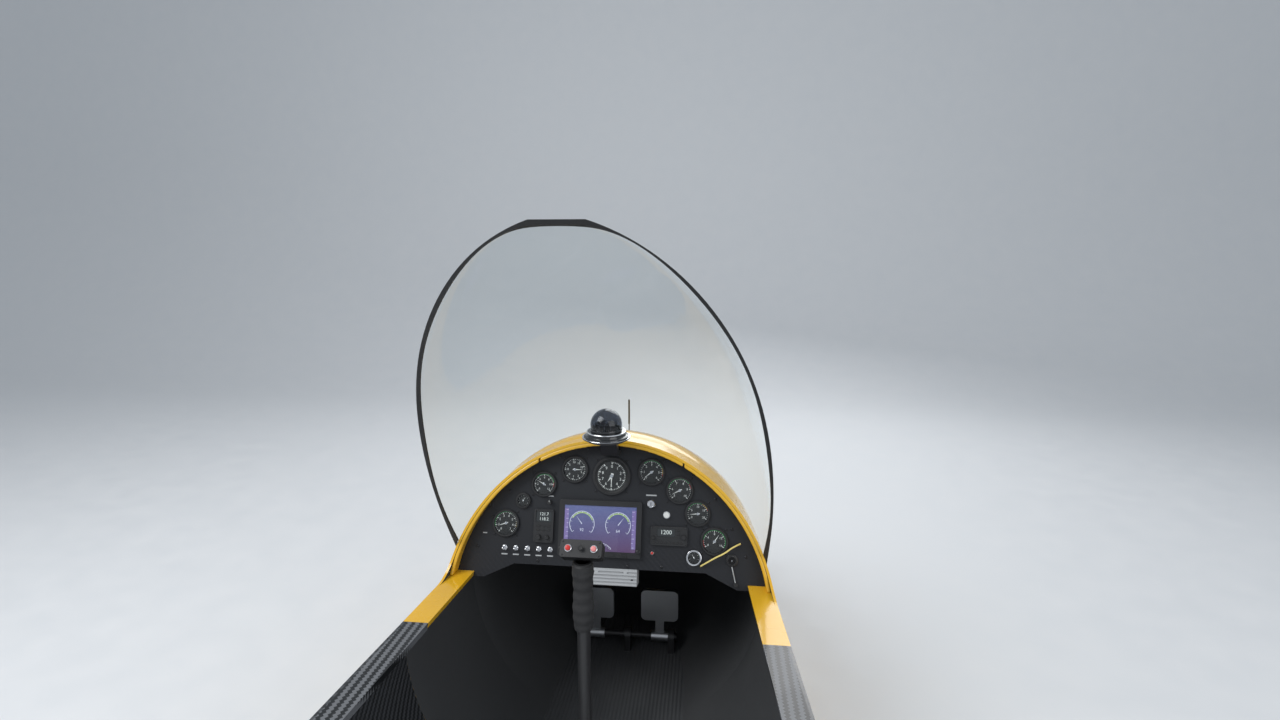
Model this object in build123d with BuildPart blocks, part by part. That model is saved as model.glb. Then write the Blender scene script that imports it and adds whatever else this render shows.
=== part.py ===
"""Front cockpit pod of a tandem open gyrocopter, in millimetres.

+Y points to the nose, +X to the pilot's right, +Z up. The origin is the centre of the four keel bolts,
on the underside of the keel plate. The pod is a hollow composite tub with a closed nose. A tilted arch
of instruments closes the nose off, and its rolled edge runs down into the cockpit sills. A blown
windscreen sits on the nose. A control stick on a two-axis gimbal and a pair of rudder pedals stand
on the floor.
"""

import os
from math import cos, radians, sin, sqrt, tan

from build123d import *

# Tub: one row for each cross-section, from the seat end to the nose tip: y, half_width, widest_z, rise,
# drop. Each section is an upper and a lower half-ellipse that meet at the widest line. The first two
# rows span the cockpit, and the nose is lofted from the second.
HULL = [
    (-560, 375, 372, 330, 376),
    (45, 330, 370, 327, 374),
    (260, 306, 356, 264, 356),
    (460, 252, 335, 176, 303),
    (620, 174, 312, 112, 214),
    (710, 96, 291, 58, 112),
    (735, 52, 284, 32, 64),
]
WALL = 5.0
TIP_MARGIN = 10.0
KEEL_PLATE_T = 8.0
AFT_Y = HULL[0][0]
SPLIT_Y = -240.0
SILL_Z = 420.0
SILL_CORNER_R = 60.0
SILL_WIDTH = 42.0
SILL_T = 10.0
CARBON_SILL_T = 14.0
FAR = 900.0
FLOOR_Z = 40.0
FLOOR_T = 6.0
FLOOR_FRONT_Y = 430.0
FLOOR_TOP = FLOOR_Z + FLOOR_T
FRAME_T = 6.0
FRAME_WIDTH = 30.0

# Keel plate and its bolts
KEEL_WIDTH = 120.0
KEEL_LENGTH = 440.0
KEEL_BOLT_X = 80.0
KEEL_BOLT_Y = 360.0
KEEL_BOLT_R = 4.25

# Instrument panel: a tilted plane, u to the right and v up along it, from a point above the origin
PANEL_Z = 560.0
PANEL_TILT = 18.0
PANEL_T = 3.0
LIP_DEPTH = 26.0
LIP_WIDTH = 8.0
LIP_GAP = 3.0
LIP_BREAK_U = 150.0
PANEL_FOOT_V = -128.0
PANEL_CORNER_V = -158.0
KNEE_U = 200.0
FIT = 0.3
PANEL_AXIS = (0, -cos(radians(PANEL_TILT)), sin(radians(PANEL_TILT)))
PANEL = Plane(origin=(0, 0, PANEL_Z), x_dir=(1, 0, 0), z_dir=PANEL_AXIS)

# Round instruments by node: each one's u, v and flange radius, then the depth of its case
CENTRE_GAUGE_V = 60.0
CENTRE_GAUGE_R = 40.0
GAUGES = {
    "gauge_centre": [(0, CENTRE_GAUGE_V, CENTRE_GAUGE_R, 70)],
    "gauges_standard": [
        (-222, -46, 28.5, 58),
        (-144, 38, 27, 58),
        (-79, 71, 28.5, 58),
        (84, 71, 28.5, 58),
        (144, 36, 28.5, 58),
        (182, -10, 26.5, 58),
        (217, -64, 28.5, 58),
    ],
    "gauges_small": [(-187, 2, 16, 30), (176, -98, 15.5, 30)],
}
BEZEL_T = 6.0
BEZEL_WALL = 4.0
DIAL_DEPTH = 4.0
CASE_STEP = 3.0

# Rectangular units: name, u, v, width, height, stand-off of the front, depth behind the panel
BOXES = [
    ("display", -20, -48, 174, 114, 9, 34, (0, 0, 152, 92)),
    ("radio", -140, -48, 42, 68, 6, 46, (0, 19, 34, 22)),
    ("transponder", 124, -57, 76, 38, 6, 46, (-6, 7, 38, 17)),
]
WINDOW_DEPTH = 2.0
BOX_CORNER_R = 4.0

# Small panel controls: name, u, v, radius, height
KNOBS = [
    ("dimmer_knob", -129, 1, 4.5, 12),
    ("key_switch", 85, 6, 9, 8),
    ("push_button", 118, -15, 8, 7),
    ("warning_lamp", 90, -93, 4, 6),
    ("power_socket", 253, -100, 12, 7),
]
SWITCH_U = (-222, -197.5, -173, -148.5, -124)
SWITCH_V = -96.0
SWITCH_NUT_R = 6.5
SWITCH_NUT_T = 4.0
SWITCH_LEVER_R = 2.2
SWITCH_LEVER_L = 13.0

# Ribbed box that hangs under the middle of the panel
RELAY_WIDTH = 104.0
RELAY_HEIGHT = 34.0
RELAY_DEPTH = 40.0
RELAY_RIB_COUNT = 5
RELAY_RIB_DEPTH = 3.0
RELAY_U = 8.0

# Compass on its bracket
COMPASS_Y = -48.0
COMPASS_Z = 722.0
COMPASS_BASE_R = 48.0
COMPASS_BASE_H = 14.0
COMPASS_STEP_R = 39.0
COMPASS_STEP_H = 8.0
COMPASS_DOME_R = 32.0
COMPASS_DOME_RISE = 12.0
COMPASS_CARD_R = 23.0
COMPASS_CARD_H = 12.0
BRACKET_WIDTH = 34.0
BRACKET_T = 5.0
ARM_W = 12.0

# Windscreen: its free edge lies in a plane that leans aft, and level ellipses are centred on that plane
SCREEN_T = 4.0
SCREEN_BASE_Y = -20.0
SCREEN_BASE_Z = 430.0
SCREEN_APEX_Y = -436.0
SCREEN_APEX_Z = 1132.0
SCREEN_FRONT_Y = 330.0
SCREEN_FRONT_Z = 617.0
SCREEN_BULGE = 26.0
SCREEN_HALF_WIDTH = 323.0
SCREEN_FULLNESS = 3.0
SCREEN_ROUNDING = 0.588
SCREEN_LEVELS = (400, 560, 710, 850, 970, 1060, 1105, 1126)
TRIM_T = 1.0
TRIM_DEPTH = 3.5
DOME_T = 3.0

# Thin mast on the nose, and the pitot tube at its tip
MAST_X = -20.0
MAST_Y = 476.0
MAST_Z = 500.0
MAST_TIP_R = 2.6
MAST_R = 1.6
MAST_HEIGHT = 174.0
MAST_FOOT_R = 9.0
MAST_FOOT_H = 14.0
PITOT_R = 6.0
PITOT_LENGTH = 150.0
PITOT_FLANGE_R = 26.0
PITOT_FLANGE_T = 6.0
PITOT_BORE_L = 20.0

# Control stick on its gimbal
STICK_Y = -300.0
ROLL_Z = 84.0
PITCH_Z = 112.0
ROLL_SHAFT_R = 6.0
PITCH_PIN_R = 5.0
RUNNING = 0.05
EAR_Y = 38.0
EAR_FOOT_T = 6.0
EAR_T = 8.0
EAR_WIDTH = 36.0
EAR_FOOT_W = 90.0
FORK_GAP = 20.0
FORK_T = 7.0
FORK_R = 12.0
FORK_CLEAR = 4.0
HUB_R = 10.0
NECK_W = 14.0
YOKE_BLOCK_R = 10.0
STICK_R = 11.0
GRIP_Z = 470.0
GRIP_TOP_Z = 588.0
GRIP_R = 17.0
GRIP_OVAL = 1.12
GRIP_STATIONS = ((0, 0.88), (0.3, 1.06), (0.65, 0.94), (1, 1.04))
HEAD_Z = 606.0
HEAD_WIDTH = 68.0
HEAD_HEIGHT = 28.0
HEAD_DEPTH = 34.0
HEAD_TILT = 38.0
HEAD_BUTTON_U = 21.0
HEAD_BUTTON_R = 6.0
HEAD_BUTTON_H = 6.0
HAT_R = 4.5
HAT_H = 8.0

# Rudder pedals on a cross shaft
PEDAL_Y = 280.0
PEDAL_Z = 84.0
PEDAL_X = 84.0
PEDAL_SHAFT_R = 8.0
PEDAL_SHAFT_HALF = 128.0
PEDAL_HUB_R = 13.0
PEDAL_HUB_L = 44.0
PEDAL_ARM_W = 22.0
PEDAL_ARM_T = 10.0
PEDAL_PLATE_W = 84.0
PEDAL_PLATE_H = 96.0
PEDAL_PLATE_T = 8.0
PEDAL_PLATE_Z = 128.0
PEDAL_BLOCK_W = 16.0
PEDAL_BLOCK_DEPTH = 36.0

# Safety lanyard from the small gauge to the rim: points u, v, height above the panel
LANYARD_POINTS = [(190, -114, 2), (203, -105, 9), (220, -94, 12), (238, -85, 13), (255, -72, 9), (270, -66, 2)]
LANYARD_R = 1.7
LANYARD_ARC_SHARE = 0.45

os.makedirs("parts", exist_ok=True)


def on_panel(u, v, lift=0.0):
    """A plane parallel to the panel's face, centred on u, v, that far in front of the face."""
    return Plane(origin=PANEL.from_local_coords((u, v, lift)), x_dir=(1, 0, 0), z_dir=PANEL_AXIS)


def hull(inset):
    """The tub's outer form taken in all round by inset, as a solid with a flat bottom."""
    rows = [row for row in HULL if row[3] > inset + TIP_MARGIN]
    with BuildPart() as form:
        for run in (rows[:2], rows[1:]):
            for row in run:
                y, half_width, widest_z, rise, drop = row
                back = inset if row is rows[-1] else 0
                with BuildSketch(Plane(origin=(0, y - back, widest_z), x_dir=(1, 0, 0), z_dir=(0, -1, 0))):
                    with BuildLine():
                        EllipticalCenterArc((0, 0), half_width - inset, rise - inset, start_angle=0, arc_size=180)
                        EllipticalCenterArc((0, 0), half_width - inset, drop - inset, start_angle=180, arc_size=180)
                    make_face()
            loft()
        with BuildSketch(Plane.XY.offset(KEEL_PLATE_T + inset)):
            Rectangle(2 * FAR, 2 * FAR)
        extrude(amount=-FAR, mode=Mode.SUBTRACT)
    return form.part


def screen_form(inset):
    """The windscreen's outer form taken in by inset, closed at the top and complete on its aft side."""
    with BuildPart() as form:
        for z in SCREEN_LEVELS:
            climb = (z - SCREEN_BASE_Z) / (SCREEN_APEX_Z - SCREEN_BASE_Z)
            half_width = SCREEN_HALF_WIDTH * (1 - max(climb, 0) ** SCREEN_FULLNESS) ** SCREEN_ROUNDING
            edge_y = SCREEN_BASE_Y + climb * (SCREEN_APEX_Y - SCREEN_BASE_Y)
            rise = (z - SCREEN_FRONT_Z) / (SCREEN_APEX_Z - SCREEN_FRONT_Z)
            front_y = SCREEN_FRONT_Y + rise * (SCREEN_APEX_Y - SCREEN_FRONT_Y)
            front_y = front_y + 4 * SCREEN_BULGE * rise * (1 - rise)
            down = inset if z == SCREEN_LEVELS[-1] else 0
            with BuildSketch(Plane.XY.offset(z - down)):
                with Locations((0, edge_y)):
                    Ellipse(half_width - inset, front_y - edge_y - inset)
        loft()
    return form.part


def slab(plane, low, high):
    """Everything between two planes parallel to plane."""
    with BuildPart() as space:
        with BuildSketch(plane.offset(low)):
            Rectangle(2 * FAR, 2 * FAR)
        extrude(amount=high - low)
    return space.part


def opening_profile(grow):
    """The cockpit opening's side view: the lip's plane down to the sill, then aft. Grow moves it forward and down."""
    lip = LIP_DEPTH - grow
    foot_v = (SILL_Z - grow - PANEL_Z - lip * sin(radians(PANEL_TILT))) / cos(radians(PANEL_TILT))
    foot = PANEL.from_local_coords((0, foot_v, lip))
    head = PANEL.from_local_coords((0, FAR, lip))
    return foot, head


def opening(grow=0.0):
    """The space above the sills and aft of the rolled edge, which the cockpit leaves open."""
    foot, head = opening_profile(grow)
    with BuildPart() as space:
        with BuildSketch(Plane(origin=(0, 0, 0), x_dir=(0, 1, 0), z_dir=(1, 0, 0))) as side:
            with BuildLine():
                Polyline(
                    (foot.Y, foot.Z),
                    (head.Y, head.Z),
                    (-FAR, head.Z),
                    (-FAR, foot.Z),
                    close=True,
                )
            make_face()
            corner = side.vertices().sort_by_distance((0, foot.Y, foot.Z))[0]
            fillet(corner, SILL_CORNER_R)
        extrude(amount=FAR, both=True)
    return space.part


def keep(part, label):
    """Names a finished piece and writes it."""
    part.label = label
    export_step(part, f"parts/{label}.step")
    print(label, len(part.solids()), round(part.volume / 1000), "cm3", part.is_valid)


# Tub: the yellow nose shell and the carbon aft shell
outer = hull(0)
inner = hull(WALL)
cockpit = opening()
aft_of_split = slab(Plane.XZ, -SPLIT_Y, FAR)
tub = outer - inner - cockpit
with BuildPart() as nose_shell:
    add(tub)
    add(aft_of_split, mode=Mode.SUBTRACT)
keep(nose_shell.part, "nose_shell")
with BuildPart() as aft_shell:
    add(tub)
    add(aft_of_split, mode=Mode.INTERSECT)
keep(aft_shell.part, "aft_shell")
with BuildPart() as aft_frame:
    add(inner - hull(WALL + FRAME_WIDTH) - opening(CARBON_SILL_T))
    add(slab(Plane.XZ, -AFT_Y - FRAME_T, -AFT_Y), mode=Mode.INTERSECT)
keep(aft_frame.part, "aft_frame")

# Rolled edge in three strips, with a gap where the top strip lifts off
lip_band = (inner - hull(WALL + LIP_WIDTH) - cockpit) & slab(PANEL, FIT, LIP_DEPTH)
above_sill = slab(Plane.XY, SILL_Z, FAR)
for label, low, high in (
    ("rim_left", -FAR, -LIP_BREAK_U - LIP_GAP),
    ("rim_top", -LIP_BREAK_U, LIP_BREAK_U),
    ("rim_right", LIP_BREAK_U + LIP_GAP, FAR),
):
    with BuildPart() as rim:
        add(lip_band)
        add(above_sill, mode=Mode.INTERSECT)
        add(slab(Plane.YZ, low, high), mode=Mode.INTERSECT)
    keep(rim.part, label)

# Sills: a flat inward flange each side, yellow ahead of the split and carbon aft of it
sill_ring = inner - hull(WALL + SILL_WIDTH)
for side, low, high in (("left", -FAR, 0), ("right", 0, FAR)):
    half = slab(Plane.YZ, low, high)
    with BuildPart() as sill:
        add(sill_ring & slab(Plane.XY, SILL_Z - SILL_T, SILL_Z))
        add(half, mode=Mode.INTERSECT)
        add(slab(PANEL, FIT, FAR), mode=Mode.INTERSECT)
        add(slab(Plane.XZ, 0, -SPLIT_Y), mode=Mode.INTERSECT)
    keep(sill.part, f"sill_{side}")
    with BuildPart() as carbon:
        add(sill_ring & slab(Plane.XY, SILL_Z - CARBON_SILL_T, SILL_Z))
        add(half, mode=Mode.INTERSECT)
        add(slab(Plane.XZ, -SPLIT_Y, -AFT_Y), mode=Mode.INTERSECT)
    keep(carbon.part, f"carbon_sill_{side}")

# Floor board, held all round by the tub's inner face
with BuildPart() as floor_board:
    add(inner & slab(Plane.XY, FLOOR_Z, FLOOR_TOP))
    add(slab(Plane.XZ, -FLOOR_FRONT_Y, -AFT_Y - FRAME_T), mode=Mode.INTERSECT)
keep(floor_board.part, "floor_board")

# Keel plate under the flat bottom
with BuildPart() as keel_plate:
    with BuildSketch(Plane.XY):
        RectangleRounded(KEEL_WIDTH, KEEL_LENGTH, BOX_CORNER_R * 2)
        with GridLocations(KEEL_BOLT_X, KEEL_BOLT_Y, 2, 2):
            Circle(KEEL_BOLT_R, mode=Mode.SUBTRACT)
    extrude(amount=KEEL_PLATE_T)
keep(keel_plate.part, "keel_plate")

# Instrument panel: the plate fills the nose, and its lower edge is cut up over the knees
with BuildPart() as panel:
    add(inner & slab(PANEL, -PANEL_T, 0))
    with BuildSketch(PANEL):
        with BuildLine():
            Polyline(
                (-FAR, PANEL_CORNER_V),
                (-HULL[2][1] + SILL_WIDTH, PANEL_CORNER_V),
                (-KNEE_U, PANEL_FOOT_V),
                (KNEE_U, PANEL_FOOT_V),
                (HULL[2][1] - SILL_WIDTH, PANEL_CORNER_V),
                (FAR, PANEL_CORNER_V),
                (FAR, -FAR),
                (-FAR, -FAR),
                close=True,
            )
        make_face()
    extrude(amount=-PANEL_T, both=True, mode=Mode.SUBTRACT)
    for rows in GAUGES.values():
        for u, v, flange_r, case_depth in rows:
            with BuildSketch(on_panel(u, v)):
                Circle(flange_r - CASE_STEP + FIT)
            extrude(amount=-PANEL_T, mode=Mode.SUBTRACT)
    for name, u, v, width, height, front, depth, window in BOXES:
        with BuildSketch(on_panel(u, v)):
            Rectangle(width - 2 * CASE_STEP + FIT, height - 2 * CASE_STEP + FIT)
        extrude(amount=-PANEL_T, mode=Mode.SUBTRACT)
keep(panel.part, "panel")

# Round instruments: a bezel round a sunk dial, and a case behind the panel
for label, rows in GAUGES.items():
    with BuildPart() as gauges:
        for u, v, flange_r, case_depth in rows:
            with BuildSketch(on_panel(u, v)):
                Circle(flange_r)
            extrude(amount=BEZEL_T)
            bezel_front = gauges.faces(Select.LAST).sort_by(Axis(PANEL.origin, PANEL.z_dir))[-1]
            chamfer(bezel_front.edges(), BEZEL_WALL / 3)
            with BuildSketch(on_panel(u, v, BEZEL_T)):
                Circle(flange_r - BEZEL_WALL)
            extrude(amount=-DIAL_DEPTH, mode=Mode.SUBTRACT)
            with BuildSketch(on_panel(u, v)):
                Circle(flange_r - CASE_STEP)
            extrude(amount=-case_depth)
    keep(gauges.part, label)

# Display, radio and transponder: a front that stands off the panel, with a sunk window
for name, u, v, width, height, front, depth, window in BOXES:
    window_u, window_v, window_width, window_height = window
    with BuildPart() as unit:
        with BuildSketch(on_panel(u, v)):
            RectangleRounded(width, height, BOX_CORNER_R)
        extrude(amount=front)
        with BuildSketch(on_panel(u + window_u, v + window_v, front)):
            Rectangle(window_width, window_height)
        extrude(amount=-WINDOW_DEPTH, mode=Mode.SUBTRACT)
        with BuildSketch(on_panel(u, v)):
            Rectangle(width - 2 * CASE_STEP, height - 2 * CASE_STEP)
        extrude(amount=-depth)
    keep(unit.part, name)

# Small controls on the panel
for name, u, v, radius, height in KNOBS:
    with BuildPart() as knob:
        with BuildSketch(on_panel(u, v)):
            Circle(radius)
        extrude(amount=height)
        chamfer(knob.faces().sort_by(Axis(PANEL.origin, PANEL.z_dir))[-1].edges(), radius / 8)
    keep(knob.part, name)
with BuildPart() as switches:
    for u in SWITCH_U:
        with BuildSketch(on_panel(u, SWITCH_V)):
            Circle(SWITCH_NUT_R)
        extrude(amount=SWITCH_NUT_T)
        with BuildSketch(on_panel(u, SWITCH_V, SWITCH_NUT_T)):
            Circle(SWITCH_LEVER_R)
        extrude(amount=SWITCH_LEVER_L)
keep(switches.part, "switch_row")

# Ribbed relay box under the panel, hung from its lower edge
with BuildPart() as relay_box:
    relay_v = PANEL_FOOT_V - RELAY_HEIGHT / 2
    with BuildSketch(on_panel(RELAY_U, relay_v, -RELAY_DEPTH)):
        Rectangle(RELAY_WIDTH, RELAY_HEIGHT)
    extrude(amount=RELAY_DEPTH)
    with BuildSketch(on_panel(RELAY_U, relay_v)):
        with GridLocations(0, RELAY_HEIGHT / RELAY_RIB_COUNT, 1, RELAY_RIB_COUNT):
            Rectangle(RELAY_WIDTH, RELAY_HEIGHT / RELAY_RIB_COUNT / 2)
    extrude(amount=RELAY_RIB_DEPTH)
keep(relay_box.part, "relay_box")

# Compass: a bracket off the panel's top, a stepped base, and a card in a clear dome
with BuildPart() as bracket:
    with BuildSketch(Plane.XY.offset(COMPASS_Z - BRACKET_T)):
        with Locations((0, COMPASS_Y)):
            Circle(COMPASS_STEP_R)
    extrude(amount=BRACKET_T)
    arm_v = CENTRE_GAUGE_V + CENTRE_GAUGE_R + LIP_GAP
    arm_lift = LIP_DEPTH + LIP_GAP
    with BuildSketch(Plane.YZ.offset(-BRACKET_WIDTH / 2)):
        with BuildLine():
            heel = PANEL.from_local_coords((0, arm_v, 0))
            elbow = PANEL.from_local_coords((0, arm_v, arm_lift + ARM_W))
            crook = PANEL.from_local_coords((0, arm_v + ARM_W, arm_lift))
            top = PANEL.from_local_coords((0, arm_v + ARM_W, 0))
            Polyline(
                (heel.Y, heel.Z),
                (elbow.Y, elbow.Z),
                (COMPASS_Y + BRACKET_WIDTH / 4, COMPASS_Z - BRACKET_T / 2),
                (COMPASS_Y + BRACKET_WIDTH, COMPASS_Z - BRACKET_T / 2),
                (crook.Y, crook.Z),
                (top.Y, top.Z),
                close=True,
            )
        make_face()
    extrude(amount=BRACKET_WIDTH)
keep(bracket.part, "compass_bracket")
with BuildPart() as base:
    with BuildSketch(Plane.XY.offset(COMPASS_Z)):
        with Locations((0, COMPASS_Y)):
            Circle(COMPASS_BASE_R)
    extrude(amount=COMPASS_BASE_H - COMPASS_STEP_H, taper=20)
    with BuildSketch(Plane.XY.offset(COMPASS_Z + COMPASS_BASE_H - COMPASS_STEP_H)):
        with Locations((0, COMPASS_Y)):
            Circle(COMPASS_STEP_R)
    extrude(amount=COMPASS_STEP_H)
keep(base.part, "compass_base")
dome_foot = COMPASS_Z + COMPASS_BASE_H
dome_centre = dome_foot + COMPASS_DOME_RISE
foot_r = sqrt(COMPASS_DOME_R**2 - COMPASS_DOME_RISE**2)
card_foot = dome_foot + DOME_T
with BuildPart() as dome:
    with BuildSketch(Plane(origin=(0, COMPASS_Y, 0), x_dir=(1, 0, 0), z_dir=(0, -1, 0))):
        with BuildLine():
            Line((0, dome_foot), (foot_r, dome_foot))
            ThreePointArc(
                (foot_r, dome_foot), (COMPASS_DOME_R, dome_centre), (0, dome_centre + COMPASS_DOME_R)
            )
            Line((0, dome_centre + COMPASS_DOME_R), (0, dome_foot))
        make_face()
    revolve(axis=Axis((0, COMPASS_Y, 0), (0, 0, 1)))
    with BuildSketch(Plane.XY.offset(dome_foot)):
        with Locations((0, COMPASS_Y)):
            Circle(COMPASS_CARD_R + DOME_T)
    extrude(amount=COMPASS_CARD_H + 2 * DOME_T, mode=Mode.SUBTRACT)
keep(dome.part, "compass_dome")
with BuildPart() as card:
    with BuildSketch(Plane.XY.offset(dome_foot)):
        with Locations((0, COMPASS_Y)):
            Circle(COMPASS_CARD_R / 3)
    extrude(amount=DOME_T)
    with BuildSketch(Plane.XY.offset(card_foot)):
        with Locations((0, COMPASS_Y)):
            Circle(COMPASS_CARD_R)
    extrude(amount=COMPASS_CARD_H, taper=12)
keep(card.part, "compass_card")

# Windscreen, cut to its leaning edge and scribed to the nose, with a channel over the edge
EDGE = Plane(
    origin=(0, SCREEN_BASE_Y, SCREEN_BASE_Z),
    x_dir=(1, 0, 0),
    z_dir=(0, SCREEN_BASE_Z - SCREEN_APEX_Z, SCREEN_APEX_Y - SCREEN_BASE_Y),
)
glass = screen_form(0) - screen_form(SCREEN_T) - slab(EDGE, 0, FAR) - outer
with BuildPart() as windscreen:
    add(glass.solids().sort_by(SortBy.VOLUME)[-1])
keep(windscreen.part, "windscreen")
channel = (screen_form(-TRIM_T) - screen_form(SCREEN_T + TRIM_T)) & slab(EDGE, -TRIM_DEPTH, TRIM_T)
channel = channel - glass - outer
with BuildPart() as trim:
    add(channel.solids().sort_by(SortBy.VOLUME)[-1])
keep(trim.part, "windscreen_trim")

# Thin mast on a foot, ahead of the windscreen
with BuildPart() as mast:
    with BuildSketch(Plane.XY.offset(MAST_Z - MAST_FOOT_H)):
        with Locations((MAST_X, MAST_Y)):
            Circle(MAST_FOOT_R)
    extrude(amount=2 * MAST_FOOT_H, taper=10)
    with BuildSketch(Plane.XY.offset(MAST_Z)):
        with Locations((MAST_X, MAST_Y)):
            Circle(MAST_R)
    extrude(amount=MAST_HEIGHT)
    with BuildSketch(Plane.XY.offset(MAST_Z + MAST_HEIGHT * 0.6)):
        with Locations((MAST_X, MAST_Y)):
            Circle(MAST_TIP_R)
    extrude(amount=MAST_HEIGHT * 0.4)
    add(outer, mode=Mode.SUBTRACT)
keep(mast.part, "nose_mast")

# Pitot tube on the nose tip
tip_y = HULL[-1][0]
tip_z = HULL[-1][2]
with BuildPart() as pitot:
    with BuildSketch(Plane(origin=(0, tip_y, tip_z), x_dir=(1, 0, 0), z_dir=(0, 1, 0))):
        Circle(PITOT_FLANGE_R)
    extrude(amount=PITOT_FLANGE_T)
    with BuildSketch(Plane(origin=(0, tip_y, tip_z), x_dir=(1, 0, 0), z_dir=(0, 1, 0))):
        Circle(PITOT_R)
    extrude(amount=PITOT_LENGTH)
    with BuildSketch(Plane(origin=(0, tip_y + PITOT_LENGTH, tip_z), x_dir=(1, 0, 0), z_dir=(0, 1, 0))):
        Circle(PITOT_R * 0.45)
    extrude(amount=-PITOT_BORE_L, mode=Mode.SUBTRACT)
keep(pitot.part, "pitot_tube")

# Stick bracket: a foot on the floor with an ear at each end that carries the roll shaft
with BuildPart() as stick_bracket:
    with BuildSketch(Plane.XY.offset(FLOOR_TOP)):
        with Locations((0, STICK_Y)):
            RectangleRounded(EAR_FOOT_W, 2 * EAR_Y + EAR_T, BOX_CORNER_R)
    extrude(amount=EAR_FOOT_T)
    for y in (STICK_Y - EAR_Y, STICK_Y + EAR_Y):
        with BuildSketch(Plane(origin=(0, y + EAR_T / 2, 0), x_dir=(1, 0, 0), z_dir=(0, -1, 0))):
            with Locations((0, ROLL_Z)):
                Circle(EAR_WIDTH / 2)
            with Locations((0, (FLOOR_TOP + ROLL_Z) / 2)):
                Rectangle(EAR_WIDTH, ROLL_Z - FLOOR_TOP)
            with Locations((0, ROLL_Z)):
                Circle(ROLL_SHAFT_R + RUNNING, mode=Mode.SUBTRACT)
        extrude(amount=EAR_T)
keep(stick_bracket.part, "stick_bracket")

# Roll yoke: the shaft between the ears, a block on it, and two cheeks with the pitch pin
with BuildPart() as yoke:
    with BuildSketch(Plane(origin=(0, STICK_Y - EAR_Y - EAR_T, ROLL_Z), x_dir=(1, 0, 0), z_dir=(0, 1, 0))):
        Circle(ROLL_SHAFT_R)
    extrude(amount=2 * (EAR_Y + EAR_T))
    with BuildSketch(Plane(origin=(0, STICK_Y - FORK_R, ROLL_Z), x_dir=(1, 0, 0), z_dir=(0, 1, 0))):
        Rectangle(FORK_GAP + 2 * FORK_T, 2 * YOKE_BLOCK_R)
    extrude(amount=2 * FORK_R)
    for x in (-FORK_GAP / 2 - FORK_T, FORK_GAP / 2):
        with BuildSketch(Plane.YZ.offset(x)):
            with Locations((STICK_Y, PITCH_Z)):
                Circle(FORK_R)
            with Locations((STICK_Y, (ROLL_Z + PITCH_Z) / 2)):
                Rectangle(2 * FORK_R, PITCH_Z - ROLL_Z)
        extrude(amount=FORK_T)
    with BuildSketch(Plane.YZ.offset(-FORK_GAP / 2 - FORK_T)):
        with Locations((STICK_Y, PITCH_Z)):
            Circle(PITCH_PIN_R)
    extrude(amount=FORK_GAP + 2 * FORK_T)
keep(yoke.part, "roll_yoke")

# Stick: a hub on the pitch pin and a tube up to the grip
hub_half = FORK_GAP / 2 - FIT
with BuildPart() as stick:
    with BuildSketch(Plane.YZ.offset(-hub_half)):
        with Locations((STICK_Y, PITCH_Z)):
            Circle(HUB_R)
    extrude(amount=2 * hub_half)
    with BuildSketch(Plane.XY.offset(PITCH_Z)):
        with Locations((0, STICK_Y)):
            Rectangle(2 * hub_half, NECK_W)
    extrude(amount=FORK_R + 2 * FORK_CLEAR)
    with BuildSketch(Plane.XY.offset(PITCH_Z + FORK_R + FORK_CLEAR)):
        with Locations((0, STICK_Y)):
            Circle(STICK_R)
    extrude(amount=GRIP_TOP_Z - PITCH_Z - FORK_R - FORK_CLEAR)
    with BuildSketch(Plane.YZ.offset(-hub_half)):
        with Locations((STICK_Y, PITCH_Z)):
            Circle(PITCH_PIN_R + RUNNING)
    extrude(amount=2 * hub_half, mode=Mode.SUBTRACT)
keep(stick.part, "stick_tube")

# Grip: four stations round the tube, swollen at the palm
with BuildPart() as grip:
    for share, grow in GRIP_STATIONS:
        with BuildSketch(Plane.XY.offset(GRIP_Z + share * (GRIP_TOP_Z - GRIP_Z))):
            with Locations((0, STICK_Y)):
                Ellipse(GRIP_R * grow, GRIP_R * grow * GRIP_OVAL)
    loft()
    with BuildSketch(Plane.XY.offset(GRIP_Z)):
        with Locations((0, STICK_Y)):
            Circle(STICK_R)
    extrude(amount=GRIP_TOP_Z - GRIP_Z, mode=Mode.SUBTRACT)
keep(grip.part, "stick_grip")

# Head: a box on top of the grip, its face tipped up to the pilot, with two buttons and a hat
FACE = Plane(
    origin=(0, STICK_Y, HEAD_Z),
    x_dir=(1, 0, 0),
    z_dir=(0, -cos(radians(HEAD_TILT)), sin(radians(HEAD_TILT))),
)
with BuildPart() as head:
    with BuildSketch(FACE.offset(-HEAD_DEPTH / 2)):
        RectangleRounded(HEAD_WIDTH, HEAD_HEIGHT, BOX_CORNER_R)
    extrude(amount=HEAD_DEPTH)
    with BuildSketch(Plane.XY.offset(GRIP_TOP_Z)):
        with Locations((0, STICK_Y)):
            Rectangle(2 * FAR, 2 * FAR)
    extrude(amount=-FAR, mode=Mode.SUBTRACT)
keep(head.part, "stick_head")
with BuildPart() as head_controls:
    with BuildSketch(FACE.offset(HEAD_DEPTH / 2)):
        with GridLocations(2 * HEAD_BUTTON_U, 0, 2, 1):
            Circle(HEAD_BUTTON_R)
    extrude(amount=HEAD_BUTTON_H)
    with BuildSketch(FACE.offset(HEAD_DEPTH / 2)):
        Circle(HAT_R)
    extrude(amount=HAT_H)
keep(head_controls.part, "head_controls")

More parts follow.
